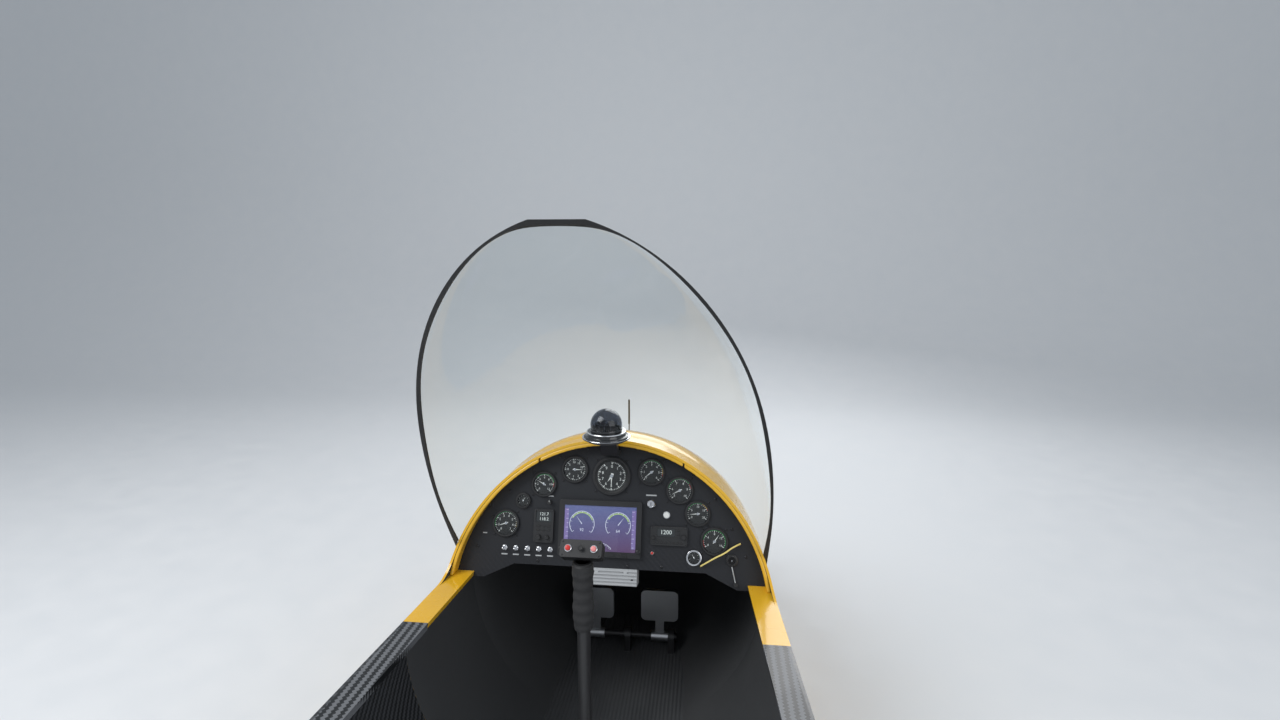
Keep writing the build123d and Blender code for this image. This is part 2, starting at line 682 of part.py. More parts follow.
# Pedal shaft: three blocks on the floor, two outboard and one between the pedals
with BuildPart() as pedal_shaft:
    with BuildSketch(Plane.YZ.offset(-PEDAL_SHAFT_HALF)):
        with Locations((PEDAL_Y, PEDAL_Z)):
            Circle(PEDAL_SHAFT_R)
    extrude(amount=2 * PEDAL_SHAFT_HALF)
    outer_block = PEDAL_X + PEDAL_HUB_L / 2 + FIT
    for x in (-outer_block - PEDAL_BLOCK_W, -PEDAL_BLOCK_W / 2, outer_block):
        with BuildSketch(Plane.YZ.offset(x)):
            with Locations((PEDAL_Y, PEDAL_Z)):
                Circle(PEDAL_BLOCK_DEPTH / 2)
            with Locations((PEDAL_Y, (PEDAL_Z + FLOOR_TOP) / 2)):
                Rectangle(PEDAL_BLOCK_DEPTH, PEDAL_Z - FLOOR_TOP)
        extrude(amount=PEDAL_BLOCK_W)
keep(pedal_shaft.part, "pedal_shaft")

# Pedals: a hub on the shaft, an arm and a foot plate
for side, x in (("left", -PEDAL_X), ("right", PEDAL_X)):
    with BuildPart() as pedal:
        with BuildSketch(Plane.YZ.offset(x - PEDAL_HUB_L / 2)):
            with Locations((PEDAL_Y, PEDAL_Z)):
                Circle(PEDAL_HUB_R)
        extrude(amount=PEDAL_HUB_L)
        with BuildSketch(Plane.XY.offset(PEDAL_Z)):
            with Locations((x, PEDAL_Y)):
                Rectangle(PEDAL_ARM_W, PEDAL_ARM_T)
        extrude(amount=PEDAL_PLATE_Z + PEDAL_PLATE_H / 2 - PEDAL_Z)
        with BuildSketch(Plane(origin=(x, PEDAL_Y, PEDAL_PLATE_Z + PEDAL_PLATE_H / 2), z_dir=(0, -1, 0))):
            RectangleRounded(PEDAL_PLATE_W, PEDAL_PLATE_H, PEDAL_HUB_R)
        extrude(amount=PEDAL_ARM_T / 2 + PEDAL_PLATE_T)
        with BuildSketch(Plane.YZ.offset(x - PEDAL_HUB_L / 2)):
            with Locations((PEDAL_Y, PEDAL_Z)):
                Circle(PEDAL_SHAFT_R + RUNNING)
        extrude(amount=PEDAL_HUB_L, mode=Mode.SUBTRACT)
    keep(pedal.part, f"pedal_{side}")

# Lanyard: each corner's radius uses most of its shorter run
knots = [PANEL.from_local_coords(point) for point in LANYARD_POINTS]
radii = []
for before, here, after in zip(knots, knots[1:], knots[2:]):
    into = here - before
    out = after - here
    turn = radians(into.get_angle(out))
    radii.append(LANYARD_ARC_SHARE * min(into.length, out.length) / tan(turn / 2))
print("lanyard radii", [round(radius, 1) for radius in radii])
with BuildPart() as lanyard:
    with BuildLine() as path:
        FilletPolyline(*knots, radius=radii)
    with BuildSketch(Plane(origin=path.line @ 0, z_dir=path.line % 0)):
        Circle(LANYARD_R)
    sweep(path=path.line)
keep(lanyard.part, "lanyard")
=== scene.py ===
import math

import bmesh
import bpy
from mathutils import Matrix, Vector


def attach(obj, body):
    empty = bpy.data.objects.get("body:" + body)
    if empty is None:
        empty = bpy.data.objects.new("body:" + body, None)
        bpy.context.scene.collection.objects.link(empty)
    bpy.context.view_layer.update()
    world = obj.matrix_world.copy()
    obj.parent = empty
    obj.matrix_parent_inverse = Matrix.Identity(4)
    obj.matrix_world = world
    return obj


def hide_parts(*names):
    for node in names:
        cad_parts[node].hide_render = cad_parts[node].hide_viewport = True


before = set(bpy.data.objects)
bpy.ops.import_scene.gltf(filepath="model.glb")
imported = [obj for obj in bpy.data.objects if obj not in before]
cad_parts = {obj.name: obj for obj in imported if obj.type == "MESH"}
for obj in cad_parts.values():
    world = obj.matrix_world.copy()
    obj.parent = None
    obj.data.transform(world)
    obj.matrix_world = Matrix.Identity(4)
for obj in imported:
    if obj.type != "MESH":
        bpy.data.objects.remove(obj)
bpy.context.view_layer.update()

# Camera, light and ground. The camera stands aft of the pod and above its right side, 1.26 m from the
# panel, with a wide lens. Light is soft and comes from above, from behind and from ahead.
scene = bpy.context.scene
scene.view_settings.view_transform = "Standard"

lens = bpy.data.cameras.new("camera")
lens.sensor_width = 36
lens.lens = 18
lens.clip_start = 0.02
camera = bpy.data.objects.new("camera", lens)
camera.location = (0.1965, -1.2564, 1.0899)
CAMERA_DOWN, CAMERA_LEFT = 9.87, 6.12
camera.rotation_euler = (math.radians(90 - CAMERA_DOWN), 0, math.radians(CAMERA_LEFT))
scene.collection.objects.link(camera)
scene.camera = camera


def soft_light(name, place, target, size, watts):
    """A square area light that faces the target."""
    light = bpy.data.lights.new(name, "AREA")
    light.size = size
    light.energy = watts
    lamp = bpy.data.objects.new(name, light)
    lamp.location = place
    lamp.rotation_euler = (Vector(target) - Vector(place)).to_track_quat("-Z", "Y").to_euler()
    scene.collection.objects.link(lamp)


soft_light("key", (-2.2, -1.6, 3.2), (0, 0, 0.5), 2.2, 95)
soft_light("fill", (2.6, -2.2, 1.8), (0, 0, 0.5), 2.6, 34)
soft_light("rim_glow", (0.6, 3.0, 2.6), (0, 0, 0.7), 2.4, 52)

world = bpy.data.worlds.new("studio")
world.use_nodes = True
world.node_tree.nodes["Background"].inputs["Color"].default_value = (0.80, 0.86, 0.93, 1)
world.node_tree.nodes["Background"].inputs["Strength"].default_value = 0.55
scene.world = world


def principled(name, **values):
    """A material whose constant values sit on the shader's own sockets. Underscores stand for spaces."""
    material = bpy.data.materials.new(name)
    material.use_nodes = True
    shader = material.node_tree.nodes["Principled BSDF"]
    for label, value in values.items():
        shader.inputs[label.replace("_", " ")].default_value = value
    return material, material.node_tree, shader


def group(name, inputs, outputs):
    """An empty node group with its sockets."""
    tree = bpy.data.node_groups.new(name, "ShaderNodeTree")
    for label, kind, value in inputs:
        socket = tree.interface.new_socket(name=label, in_out="INPUT", socket_type=kind)
        if value is not None:
            socket.default_value = value
    for label, kind in outputs:
        tree.interface.new_socket(name=label, in_out="OUTPUT", socket_type=kind)
    return tree, tree.nodes.new("NodeGroupInput"), tree.nodes.new("NodeGroupOutput")


def add(tree, kind, settings=None, **values):
    """A node with its settings and input values. An input given as a socket is linked instead."""
    node = tree.nodes.new(kind)
    for label, value in (settings or {}).items():
        setattr(node, label, value)
    for label, value in values.items():
        key = int(label[2:]) if label.startswith("in") and label[2:].isdigit() else label.replace("_", " ")
        if isinstance(value, bpy.types.NodeSocket):
            tree.links.new(value, node.inputs[key])
        else:
            node.inputs[key].default_value = value
    return node


def calc(tree, operation, first, second=0.0):
    """One math node's result."""
    return add(tree, "ShaderNodeMath", {"operation": operation}, in0=first, in1=second).outputs[0]


def blend(tree, factor, first, second):
    """Mixes two colours."""
    node = add(tree, "ShaderNodeMix", {"data_type": "RGBA"}, in0=factor, in6=first, in7=second)
    return node.outputs[2]


def use(tree, shared, **values):
    """Puts a shared group into a material."""
    node = tree.nodes.new("ShaderNodeGroup")
    node.node_tree = shared
    for label, value in values.items():
        if isinstance(value, bpy.types.NodeSocket):
            tree.links.new(value, node.inputs[label.replace("_", " ")])
        else:
            node.inputs[label.replace("_", " ")].default_value = value
    return node


# Grain: slow changes of roughness, as from wiping and dust, and a fine relief
GRAIN, grain_in, grain_out = group(
    "Grain",
    [
        ("Scale", "NodeSocketFloat", 300.0),
        ("Smooth", "NodeSocketFloat", 0.3),
        ("Rough", "NodeSocketFloat", 0.5),
        ("Relief", "NodeSocketFloat", 0.1),
    ],
    [("Roughness", "NodeSocketFloat"), ("Normal", "NodeSocketVector"), ("Patch", "NodeSocketFloat")],
)
grain_place = add(GRAIN, "ShaderNodeTexCoord").outputs["Object"]
grain_slow = add(GRAIN, "ShaderNodeTexNoise", Vector=grain_place, Scale=9.0, Detail=5.0)
grain_fine = add(GRAIN, "ShaderNodeTexNoise", Vector=grain_place, Scale=grain_in.outputs["Scale"], Detail=3.0)
grain_rough = add(
    GRAIN,
    "ShaderNodeMapRange",
    in0=grain_slow.outputs["Fac"],
    in1=0.35,
    in2=0.65,
    in3=grain_in.outputs["Smooth"],
    in4=grain_in.outputs["Rough"],
)
grain_bump = add(
    GRAIN,
    "ShaderNodeBump",
    Strength=grain_in.outputs["Relief"],
    Distance=0.0006,
    Height=grain_fine.outputs["Fac"],
)
GRAIN.links.new(grain_rough.outputs[0], grain_out.inputs["Roughness"])
GRAIN.links.new(grain_bump.outputs[0], grain_out.inputs["Normal"])
GRAIN.links.new(grain_slow.outputs["Fac"], grain_out.inputs["Patch"])


def grained(name, base, second, smooth, rough, relief=0.1, scale=300.0, **values):
    """A material whose colour drifts between two values and whose sheen and relief come from Grain."""
    material, tree, shader = principled(name, **values)
    grain = use(tree, GRAIN, Scale=scale, Smooth=smooth, Rough=rough, Relief=relief)
    colour = blend(tree, grain.outputs["Patch"], base, second)
    tree.links.new(colour, shader.inputs["Base Color"])
    tree.links.new(grain.outputs["Roughness"], shader.inputs["Roughness"])
    tree.links.new(grain.outputs["Normal"], shader.inputs["Normal"])
    return material


GROUND = grained("ground", (0.66, 0.68, 0.70, 1), (0.71, 0.72, 0.73, 1), 0.55, 0.75, relief=0.05, scale=60.0)
backdrop = bmesh.new()
BEND_Y, BEND_R, GROUND_REACH, WALL_TOP, GROUND_GAP = 3.2, 2, 9.0, 7.0, 0.001
profile = [(-GROUND_REACH, 0.0), (BEND_Y, 0.0)]
for degrees in range(10, 91, 10):
    turn = math.radians(degrees)
    profile.append((BEND_Y + BEND_R * math.sin(turn), BEND_R - BEND_R * math.cos(turn)))
profile.append((BEND_Y + BEND_R, WALL_TOP))
rows = []
for x in (-GROUND_REACH, GROUND_REACH):
    rows.append([backdrop.verts.new((x, y, z - GROUND_GAP)) for y, z in profile])
for index in range(len(profile) - 1):
    backdrop.faces.new((rows[0][index], rows[1][index], rows[1][index + 1], rows[0][index + 1])).smooth = True
backdrop_mesh = bpy.data.meshes.new("backdrop")
backdrop.to_mesh(backdrop_mesh)
backdrop.free()
floor = bpy.data.objects.new("backdrop", backdrop_mesh)
floor.data.materials.append(GROUND)
scene.collection.objects.link(floor)

# Lanyard: a thin braided cord of yellow fibre that ties the small gauge's cover to the rim. It stands
# off the panel in a low arch and both of its ends are glued down. Points: u, v, height off the panel.
LANYARD = [(190, -114, 2), (203, -105, 9), (220, -94, 12), (238, -85, 13), (255, -72, 9), (270, -66, 2)]
LANYARD_DIAMETER = 0.0034
PANEL_TILT = math.radians(18)
PANEL_HEIGHT = 560


def on_panel(u, v, lift=0.0):
    """A point on the instrument panel, from millimetres right, up and off its face."""
    along = v * math.sin(PANEL_TILT) - lift * math.cos(PANEL_TILT)
    return Vector((u, along, PANEL_HEIGHT + v * math.cos(PANEL_TILT) + lift * math.sin(PANEL_TILT))) / 1000


def braid(name, first, second, pitch):
    """Crossed strands round a cord, from the direction that the surface faces."""
    material, tree, shader = principled(name, Roughness=0.75)
    place = add(tree, "ShaderNodeTexCoord").outputs["Object"]
    parts = add(tree, "ShaderNodeSeparateXYZ", in0=place)
    along = calc(tree, "MULTIPLY", parts.outputs[0], 1 / pitch)
    across = calc(tree, "MULTIPLY", parts.outputs[2], 1 / pitch)
    cross = calc(tree, "SINE", calc(tree, "ADD", along, across))
    weave = calc(tree, "MULTIPLY", cross, calc(tree, "SINE", calc(tree, "SUBTRACT", along, across)))
    share = calc(tree, "MULTIPLY_ADD", weave, 0.5)
    share.node.inputs[2].default_value = 0.5
    tree.links.new(blend(tree, share, first, second), shader.inputs["Base Color"])
    bump = add(tree, "ShaderNodeBump", Strength=0.5, Distance=0.0003, Height=share)
    tree.links.new(bump.outputs[0], shader.inputs["Normal"])
    return material


CORD_FIBRE = braid("cord_fibre", (0.72, 0.55, 0.13, 1), (0.88, 0.74, 0.30, 1), 0.0007)
line = bpy.data.curves.new("lanyard_line", "CURVE")
line.dimensions = "3D"
line.bevel_depth = LANYARD_DIAMETER / 2
line.bevel_resolution = 4
spline = line.splines.new("NURBS")
spline.points.add(len(LANYARD) - 1)
for knot, row in zip(spline.points, LANYARD):
    knot.co = (*on_panel(*row), 1)
spline.order_u = 3
spline.use_endpoint_u = True
spline.resolution_u = 12
lanyard = bpy.data.objects.new("lanyard_cord", line)
lanyard.data.materials.append(CORD_FIBRE)
scene.collection.objects.link(lanyard)
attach(lanyard, "pod")
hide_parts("lanyard")

# Tub: a moulded composite shell. The nose is yellow gelcoat outside and grey laminate inside, and the
# aft part is clear-coated carbon twill. The two are bonded at a straight butt joint.
TUB_AXIS_Z, TUB_RADIUS = 0.37, 0.36
TWILL, twill_in, twill_out = group(
    "Twill",
    [
        ("Across", "NodeSocketFloat", 0.0),
        ("Along", "NodeSocketFloat", 0.0),
        ("Pitch", "NodeSocketFloat", 0.004),
    ],
    [("Mask", "NodeSocketFloat"), ("Height", "NodeSocketFloat")],
)
twill_u = calc(TWILL, "DIVIDE", twill_in.outputs["Across"], twill_in.outputs["Pitch"])
twill_v = calc(TWILL, "DIVIDE", twill_in.outputs["Along"], twill_in.outputs["Pitch"])
twill_step = calc(TWILL, "ADD", calc(TWILL, "FLOOR", twill_u), calc(TWILL, "FLOOR", twill_v))
twill_mask = calc(TWILL, "LESS_THAN", calc(TWILL, "FLOORED_MODULO", twill_step, 4.0), 1.5)
twill_warp = calc(TWILL, "ABSOLUTE", calc(TWILL, "SUBTRACT", calc(TWILL, "FRACT", twill_u), 0.5))
twill_weft = calc(TWILL, "ABSOLUTE", calc(TWILL, "SUBTRACT", calc(TWILL, "FRACT", twill_v), 0.5))
twill_round = add(TWILL, "ShaderNodeMix", in0=twill_mask, in2=twill_warp, in3=twill_weft)
twill_height = calc(TWILL, "SUBTRACT", 1.0, calc(TWILL, "POWER", twill_round.outputs[0], 2.0))
TWILL.links.new(twill_mask, twill_out.inputs["Mask"])
TWILL.links.new(twill_height, twill_out.inputs["Height"])


def carbon(name, lay, dark, light, pitch, smooth, coat):
    """Carbon twill under lacquer. Lay is flat, on the bias of X and Y, or wrapped round the tub."""
    material, tree, shader = principled(name, Coat_Weight=coat, Coat_Roughness=0.06)
    parts = add(tree, "ShaderNodeSeparateXYZ", in0=add(tree, "ShaderNodeTexCoord").outputs["Object"])
    x, y, z = parts.outputs[0], parts.outputs[1], parts.outputs[2]
    if lay == "wrapped":
        turn = calc(tree, "ARCTAN2", calc(tree, "SUBTRACT", z, TUB_AXIS_Z), x)
        across, along = calc(tree, "MULTIPLY", turn, TUB_RADIUS), y
    elif lay == "upright":
        across, along = x, z
    else:
        across = calc(tree, "MULTIPLY", calc(tree, "ADD", x, y), math.sqrt(0.5))
        along = calc(tree, "MULTIPLY", calc(tree, "SUBTRACT", x, y), math.sqrt(0.5))
    twill = use(tree, TWILL, Across=across, Along=along, Pitch=pitch)
    grain = use(tree, GRAIN, Scale=500.0, Smooth=smooth, Rough=smooth + 0.12, Relief=0.03)
    tree.links.new(blend(tree, twill.outputs["Mask"], dark, light), shader.inputs["Base Color"])
    tow = calc(tree, "MULTIPLY", twill.outputs["Mask"], 0.14)
    tree.links.new(calc(tree, "ADD", grain.outputs["Roughness"], tow), shader.inputs["Roughness"])
    bump = add(tree, "ShaderNodeBump", Strength=0.25, Distance=0.0004, Height=twill.outputs["Height"])
    tree.links.new(bump.outputs[0], shader.inputs["Normal"])
    return material


CARBON_FLAT = carbon(
    "carbon_flat", "flat", (0.006, 0.007, 0.008, 1), (0.13, 0.135, 0.145, 1), 0.0052, 0.30, 0.35,
)
CARBON_WRAP = carbon(
    "carbon_wrap", "wrapped", (0.012, 0.013, 0.015, 1), (0.05, 0.053, 0.058, 1), 0.0042, 0.28, 0.8,
)
CARBON_END = carbon(
    "carbon_end", "upright", (0.012, 0.013, 0.015, 1), (0.05, 0.053, 0.058, 1), 0.0042, 0.28, 0.8,
)


def gelcoat(name, two_sided):
    """Golden yellow gelcoat with a little orange peel. Two-sided, faces towards the tub's axis are grey."""
    material, tree, shader = principled(name, Coat_Weight=0.55, Coat_Roughness=0.08)
    grain = use(tree, GRAIN, Scale=190.0, Smooth=0.20, Rough=0.30, Relief=0.06)
    colour = blend(tree, grain.outputs["Patch"], (0.74, 0.40, 0.016, 1), (0.80, 0.46, 0.026, 1))
    if two_sided:
        facing = add(tree, "ShaderNodeNewGeometry")
        outward = add(tree, "ShaderNodeVectorMath", {"operation": "SUBTRACT"}, in0=facing.outputs["Position"])
        outward.inputs[1].default_value = (0, 0, TUB_AXIS_Z)
        level = add(tree, "ShaderNodeVectorMath", {"operation": "MULTIPLY"}, in0=outward.outputs[0])
        level.inputs[1].default_value = (1, 0, 1)
        lean = add(
            tree,
            "ShaderNodeVectorMath",
            {"operation": "DOT_PRODUCT"},
            in0=facing.outputs["Normal"],
            in1=level.outputs[0],
        )
        inside = calc(tree, "LESS_THAN", lean.outputs["Value"], -0.004)
        colour = blend(tree, inside, colour, (0.055, 0.057, 0.060, 1))
        dull = calc(tree, "MULTIPLY", inside, 0.4)
        tree.links.new(calc(tree, "ADD", grain.outputs["Roughness"], dull), shader.inputs["Roughness"])
        clear = calc(tree, "MULTIPLY", calc(tree, "SUBTRACT", 1.0, inside), 0.55)
        tree.links.new(clear, shader.inputs["Coat Weight"])
    else:
        tree.links.new(grain.outputs["Roughness"], shader.inputs["Roughness"])
    tree.links.new(colour, shader.inputs["Base Color"])
    tree.links.new(grain.outputs["Normal"], shader.inputs["Normal"])
    return material


GELCOAT = gelcoat("gelcoat", False)
GELCOAT_SHELL = gelcoat("gelcoat_shell", True)


def finish_node(material, *names):
    """Gives a CAD node its material."""
    for name in names:
        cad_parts[name].material_slots[0].material = material


finish_node(GELCOAT_SHELL, "nose_shell")
finish_node(CARBON_WRAP, "aft_shell")
finish_node(CARBON_END, "aft_frame")
finish_node(GELCOAT, "sill_left", "sill_right")
finish_node(CARBON_FLAT, "carbon_sill_left", "carbon_sill_right")

# Floor board: painted ply with a ribbed non-slip face
FLOOR_PAINT, floor_tree, floor_shader = principled("floor_paint")
floor_grain = use(floor_tree, GRAIN, Scale=420.0, Smooth=0.62, Rough=0.85, Relief=0.5)
floor_colour = blend(
    floor_tree, floor_grain.outputs["Patch"], (0.045, 0.048, 0.052, 1), (0.085, 0.088, 0.092, 1),
)
floor_tree.links.new(floor_colour, floor_shader.inputs["Base Color"])
floor_tree.links.new(floor_grain.outputs["Roughness"], floor_shader.inputs["Roughness"])
floor_parts = add(
    floor_tree, "ShaderNodeSeparateXYZ", in0=add(floor_tree, "ShaderNodeTexCoord").outputs["Object"],
)
floor_rib = calc(floor_tree, "SINE", calc(floor_tree, "MULTIPLY", floor_parts.outputs[0], 700.0))
floor_bump = add(floor_tree, "ShaderNodeBump", Strength=0.6, Distance=0.0008, Height=floor_rib)
floor_tree.links.new(floor_grain.outputs["Normal"], floor_bump.inputs["Normal"])
floor_tree.links.new(floor_bump.outputs[0], floor_shader.inputs["Normal"])
finish_node(FLOOR_PAINT, "floor_board")

# Keel plate, pitot tube and pedals: machined and anodised aluminium
ALUMINIUM = grained(
    "aluminium", (0.55, 0.56, 0.58, 1), (0.66, 0.67, 0.68, 1), 0.28, 0.42, 0.08, 700.0, Metallic=1.0,
)
finish_node(ALUMINIUM, "keel_plate", "pitot_tube", "pedal_left", "pedal_right")

# Rim: three strips of the same moulding, rolled over the panel's edge, with a gap where the top
# strip lifts off. Each strip's corners are rounded.
for label in ("rim_left", "rim_top", "rim_right"):
    strip = bpy.data.objects.new(label + "_rolled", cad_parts[label].data.copy())
    scene.collection.objects.link(strip)
    remesh = strip.modifiers.new("even", "REMESH")
    remesh.mode = "VOXEL"
    remesh.voxel_size = 0.0017
    remesh.use_smooth_shade = True
    soften = strip.modifiers.new("soften", "SMOOTH")
    soften.factor = 0.6
    soften.iterations = 9
    strip.material_slots[0].material = GELCOAT
    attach(strip, "pod")
    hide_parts(label)

# Panel: a carbon plate with a satin lacquer, cut for the instruments
PANEL_FACE = carbon(
    "panel_face", "upright", (0.005, 0.006, 0.009, 1), (0.009, 0.010, 0.014, 1), 0.0030, 0.45, 0.06,
)
finish_node(PANEL_FACE, "panel")


def leaning(tilt):
    """The turn of a face that looks aft, with its top leaning forward by an angle."""
    sine, cosine = math.sin(tilt), math.cos(tilt)
    return Matrix(((1, 0, 0), (0, sine, -cosine), (0, cosine, sine))).to_4x4()


def panel_frame(u, v, lift=0.0):
    """Local millimetres on the panel, X to the right, Y up it and Z off its face."""
    return Matrix.Translation(on_panel(u, v, lift)) @ leaning(PANEL_TILT) @ Matrix.Scale(0.001, 4)


def level_frame(x, y, z):
    """Local millimetres at a place in the pod, with the pod's own directions."""
    return Matrix.Translation(Vector((x, y, z)) / 1000) @ Matrix.Scale(0.001, 4)


def rounded(width, height, radius, steps=4):
    """A rectangle's outline with round corners."""
    outline = []
    for corner in range(4):
        x = (width / 2 - radius) * (1, -1, -1, 1)[corner]
        y = (height / 2 - radius) * (1, 1, -1, -1)[corner]
        for step in range(steps + 1):
            angle = math.radians(90 * corner + 90 * step / steps)
            outline.append((x + radius * math.cos(angle), y + radius * math.sin(angle)))
    return outline


def polygon(radius, sides, turn=0.0):
    """A regular outline."""
    angles = [math.radians(turn + 360 * side / sides) for side in range(sides)]
    return [(radius * math.cos(angle), radius * math.sin(angle)) for angle in angles]


def clock(radius, angle):
    """A point at an angle in degrees, clockwise from the top."""
    return (radius * math.sin(math.radians(angle)), radius * math.cos(math.radians(angle)))


class Piece:
    """One piece, built up from turned, flat and drawn shapes, each in one of its materials."""

    def __init__(self, name, body, *materials):
        self.name = name
        self.body = body
        self.materials = materials
        self.mesh = bmesh.new()

    def turned(self, at, profile, material=0, segments=40):
        """Turns a profile of radius and height about the local Z."""
        rings = []
        for radius, height in profile:
            if radius < 0.001:
                rings.append([self.mesh.verts.new(at @ Vector((0, 0, height)))])
                continue
            points = polygon(radius, segments)
            rings.append([self.mesh.verts.new(at @ Vector((x, y, height))) for x, y in points])
        self.join(rings, material, segments)

    def join(self, rings, material, segments):
        """Faces between neighbouring rings, where a ring of one point is a tip."""
        for low, high in zip(rings, rings[1:]):
            for side in range(segments):
                near, far = side, (side + 1) % segments
                if len(low) == 1 and len(high) == 1:
                    continue
                if len(low) == 1:
                    corners = (low[0], high[far], high[near])
                elif len(high) == 1:
                    corners = (low[near], low[far], high[0])
                else:
                    corners = (low[near], low[far], high[far], high[near])
                self.mesh.faces.new(corners).material_index = material

    def flat(self, at, outline, low, high, material=0, edge=0.0):
        """A flat shape between two heights, its upper edge eased in."""
        middle = Vector((sum(x for x, y in outline), sum(y for x, y in outline))) / len(outline)
        steps = [(0.0, low), (0.0, high - edge), (edge, high)] if edge else [(0.0, low), (0.0, high)]
        rings = []
        for inset, height in steps:
            ring = []
            for x, y in outline:
                away = Vector((x, y)) - middle
                away = away - away.normalized() * inset * 1.2 + middle
                ring.append(self.mesh.verts.new(at @ Vector((away.x, away.y, height))))
            rings.append(ring)
        self.join(rings, material, len(outline))
        self.mesh.faces.new(list(reversed(rings[0]))).material_index = material
        self.mesh.faces.new(rings[-1]).material_index = material

    def band(self, at, inner, outer, start, end, low, high, material=0):
        """A flat arc between two angles, clockwise from the top."""
        count = max(2, int(abs(end - start) / 7))
        angles = [start + (end - start) * step / count for step in range(count + 1)]
        outline = [clock(outer, angle) for angle in angles]
        outline += [clock(inner, angle) for angle in reversed(angles)]
        self.flat(at, outline, low, high, material)

    def drawn(self, points, radius, material=0, sides=10):
        """A round bar through points in metres."""
        rings = []
        for index, point in enumerate(points):
            before = points[max(index - 1, 0)]
            after = points[min(index + 1, len(points) - 1)]
            along = (after - before).normalized()
            first = along.orthogonal().normalized()
            if rings:
                first = (previous - along * previous.dot(along)).normalized()
            previous = first
            second = along.cross(first)
            ring = []
            for x, y in polygon(radius / 1000, sides):
                ring.append(self.mesh.verts.new(point + first * x + second * y))
            rings.append(ring)
        self.join(rings, material, sides)
        self.mesh.faces.new(list(reversed(rings[0]))).material_index = material
        self.mesh.faces.new(rings[-1]).material_index = material

    def figures(self, at, text, size, x, y, height, material=0):
        """Small printed numbers."""
        curve = bpy.data.curves.new("figures", "FONT")
        curve.body = text
        curve.size = size
        curve.align_x = "CENTER"
        curve.align_y = "CENTER"
        curve.extrude = 0.05
        curve.resolution_u = 2
        words = bpy.data.objects.new("figures", curve)
        scene.collection.objects.link(words)
        bpy.context.view_layer.update()
        shape = words.to_mesh()
        first = len(self.mesh.faces)
        start = len(self.mesh.verts)
        self.mesh.from_mesh(shape)
        self.mesh.verts.ensure_lookup_table()
        self.mesh.faces.ensure_lookup_table()
        for vertex in self.mesh.verts[start:]:
            vertex.co = at @ Vector((vertex.co.x + x, vertex.co.y + y, vertex.co.z + height))
        for face in self.mesh.faces[first:]:
            face.material_index = material
        words.to_mesh_clear()
        bpy.data.objects.remove(words)
        bpy.data.curves.remove(curve)

    def screw(self, at, radius, height, material=0, drive=1):
        """A button-head screw whose hexagonal drive is a flat dark hexagon on its head in a second material:
        painted shade standing in for the socket's depth.
        """
        steps = [(radius, 0), (radius, height * 0.3), (radius * 0.9, height * 0.7), (radius * 0.6, height)]
        self.turned(at, [(0, 0)] + steps + [(0, height)], material, 14)
        self.flat(at, polygon(radius * 0.42, 6), height - 0.1, height + 0.04, drive)

    def done(self, slot, *stands_for):
        """Closes the piece and fixes it to its body."""
        bmesh.ops.remove_doubles(self.mesh, verts=self.mesh.verts, dist=0.000002)
        bmesh.ops.recalc_face_normals(self.mesh, faces=self.mesh.faces)
        for edge in self.mesh.edges:
            edge.smooth = len(edge.link_faces) == 2 and edge.calc_face_angle(0) < math.radians(32)
        for face in self.mesh.faces:
            face.smooth = True
        data = bpy.data.meshes.new(self.name)
        self.mesh.to_mesh(data)
        self.mesh.free()
        piece = bpy.data.objects.new(self.name, data)
        for material in self.materials:
            data.materials.append(material)
        scene.collection.objects.link(piece)
        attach(piece, self.body)
        if stands_for:
            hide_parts(*stands_for)
        return piece


# Panel screws: black steel button heads along the panel's arch and foot. They hold it to nut plates
# that are bonded to the tub behind it.
# Painted shade: near-black for the insides of screw drives, the key slot, the switch bores and the socket,
# whose depth is not modelled.
HOLE_PAINTED_SHADE = grained("dark_hole", (0.008, 0.008, 0.009, 1), (0.014, 0.014, 0.015, 1), 0.6, 0.8, 0.1, 500.0)
BLACK_SCREW = grained(
    "black_screw", (0.03, 0.03, 0.033, 1), (0.05, 0.05, 0.054, 1),
    0.3, 0.45, 0.08, 700.0, Metallic=0.8,
)

screws = Piece("panel_screws", "pod", BLACK_SCREW, HOLE_PAINTED_SHADE)
PANEL_SCREWS = [(0, 119), (-52, 116), (52, 116), (-112, 97), (112, 97), (-170, 68), (170, 68)]
PANEL_SCREWS += [(-218, 21), (218, 21), (-252, -34), (252, -38), (-281, -96), (281, -92)]
PANEL_SCREWS += [(-150, -120), (110, -120), (-60, -122), (40, -122)]
for u, v in PANEL_SCREWS:
    screws.screw(panel_frame(u, v, 0.0), 3.1, 1.9)
screws.done("panel_laminate")

# Round instruments: moulded black bezels, the eight large ones with four corner screws. Each dial is a
# printed disc sunk in the bezel, with raised marks, a lacquered needle on a hub, and a domed lens. The
# small right one has a polished ring.
BEZEL = grained("bezel", (0.016, 0.016, 0.017, 1), (0.026, 0.026, 0.028, 1), 0.36, 0.5, 0.22, 900.0)
DIAL_BLACK = grained("dial_black", (0.010, 0.010, 0.011, 1), (0.016, 0.016, 0.017, 1), 0.55, 0.7, 0.1, 900.0)
MARK_WHITE = grained("mark_white", (0.80, 0.80, 0.77, 1), (0.86, 0.86, 0.84, 1), 0.5, 0.6, 0.03, 900.0)
MARK_GREEN = grained("mark_green", (0.03, 0.36, 0.08, 1), (0.04, 0.42, 0.10, 1), 0.5, 0.6, 0.03, 900.0)
MARK_AMBER = grained("mark_amber", (0.80, 0.47, 0.03, 1), (0.85, 0.52, 0.04, 1), 0.5, 0.6, 0.03, 900.0)
MARK_RED = grained("mark_red", (0.60, 0.035, 0.03, 1), (0.66, 0.045, 0.035, 1), 0.5, 0.6, 0.03, 900.0)
BRIGHT = grained(
    "bright", (0.70, 0.70, 0.72, 1), (0.80, 0.80, 0.82, 1), 0.07, 0.16, 0.02, 900.0, Metallic=1.0,
)


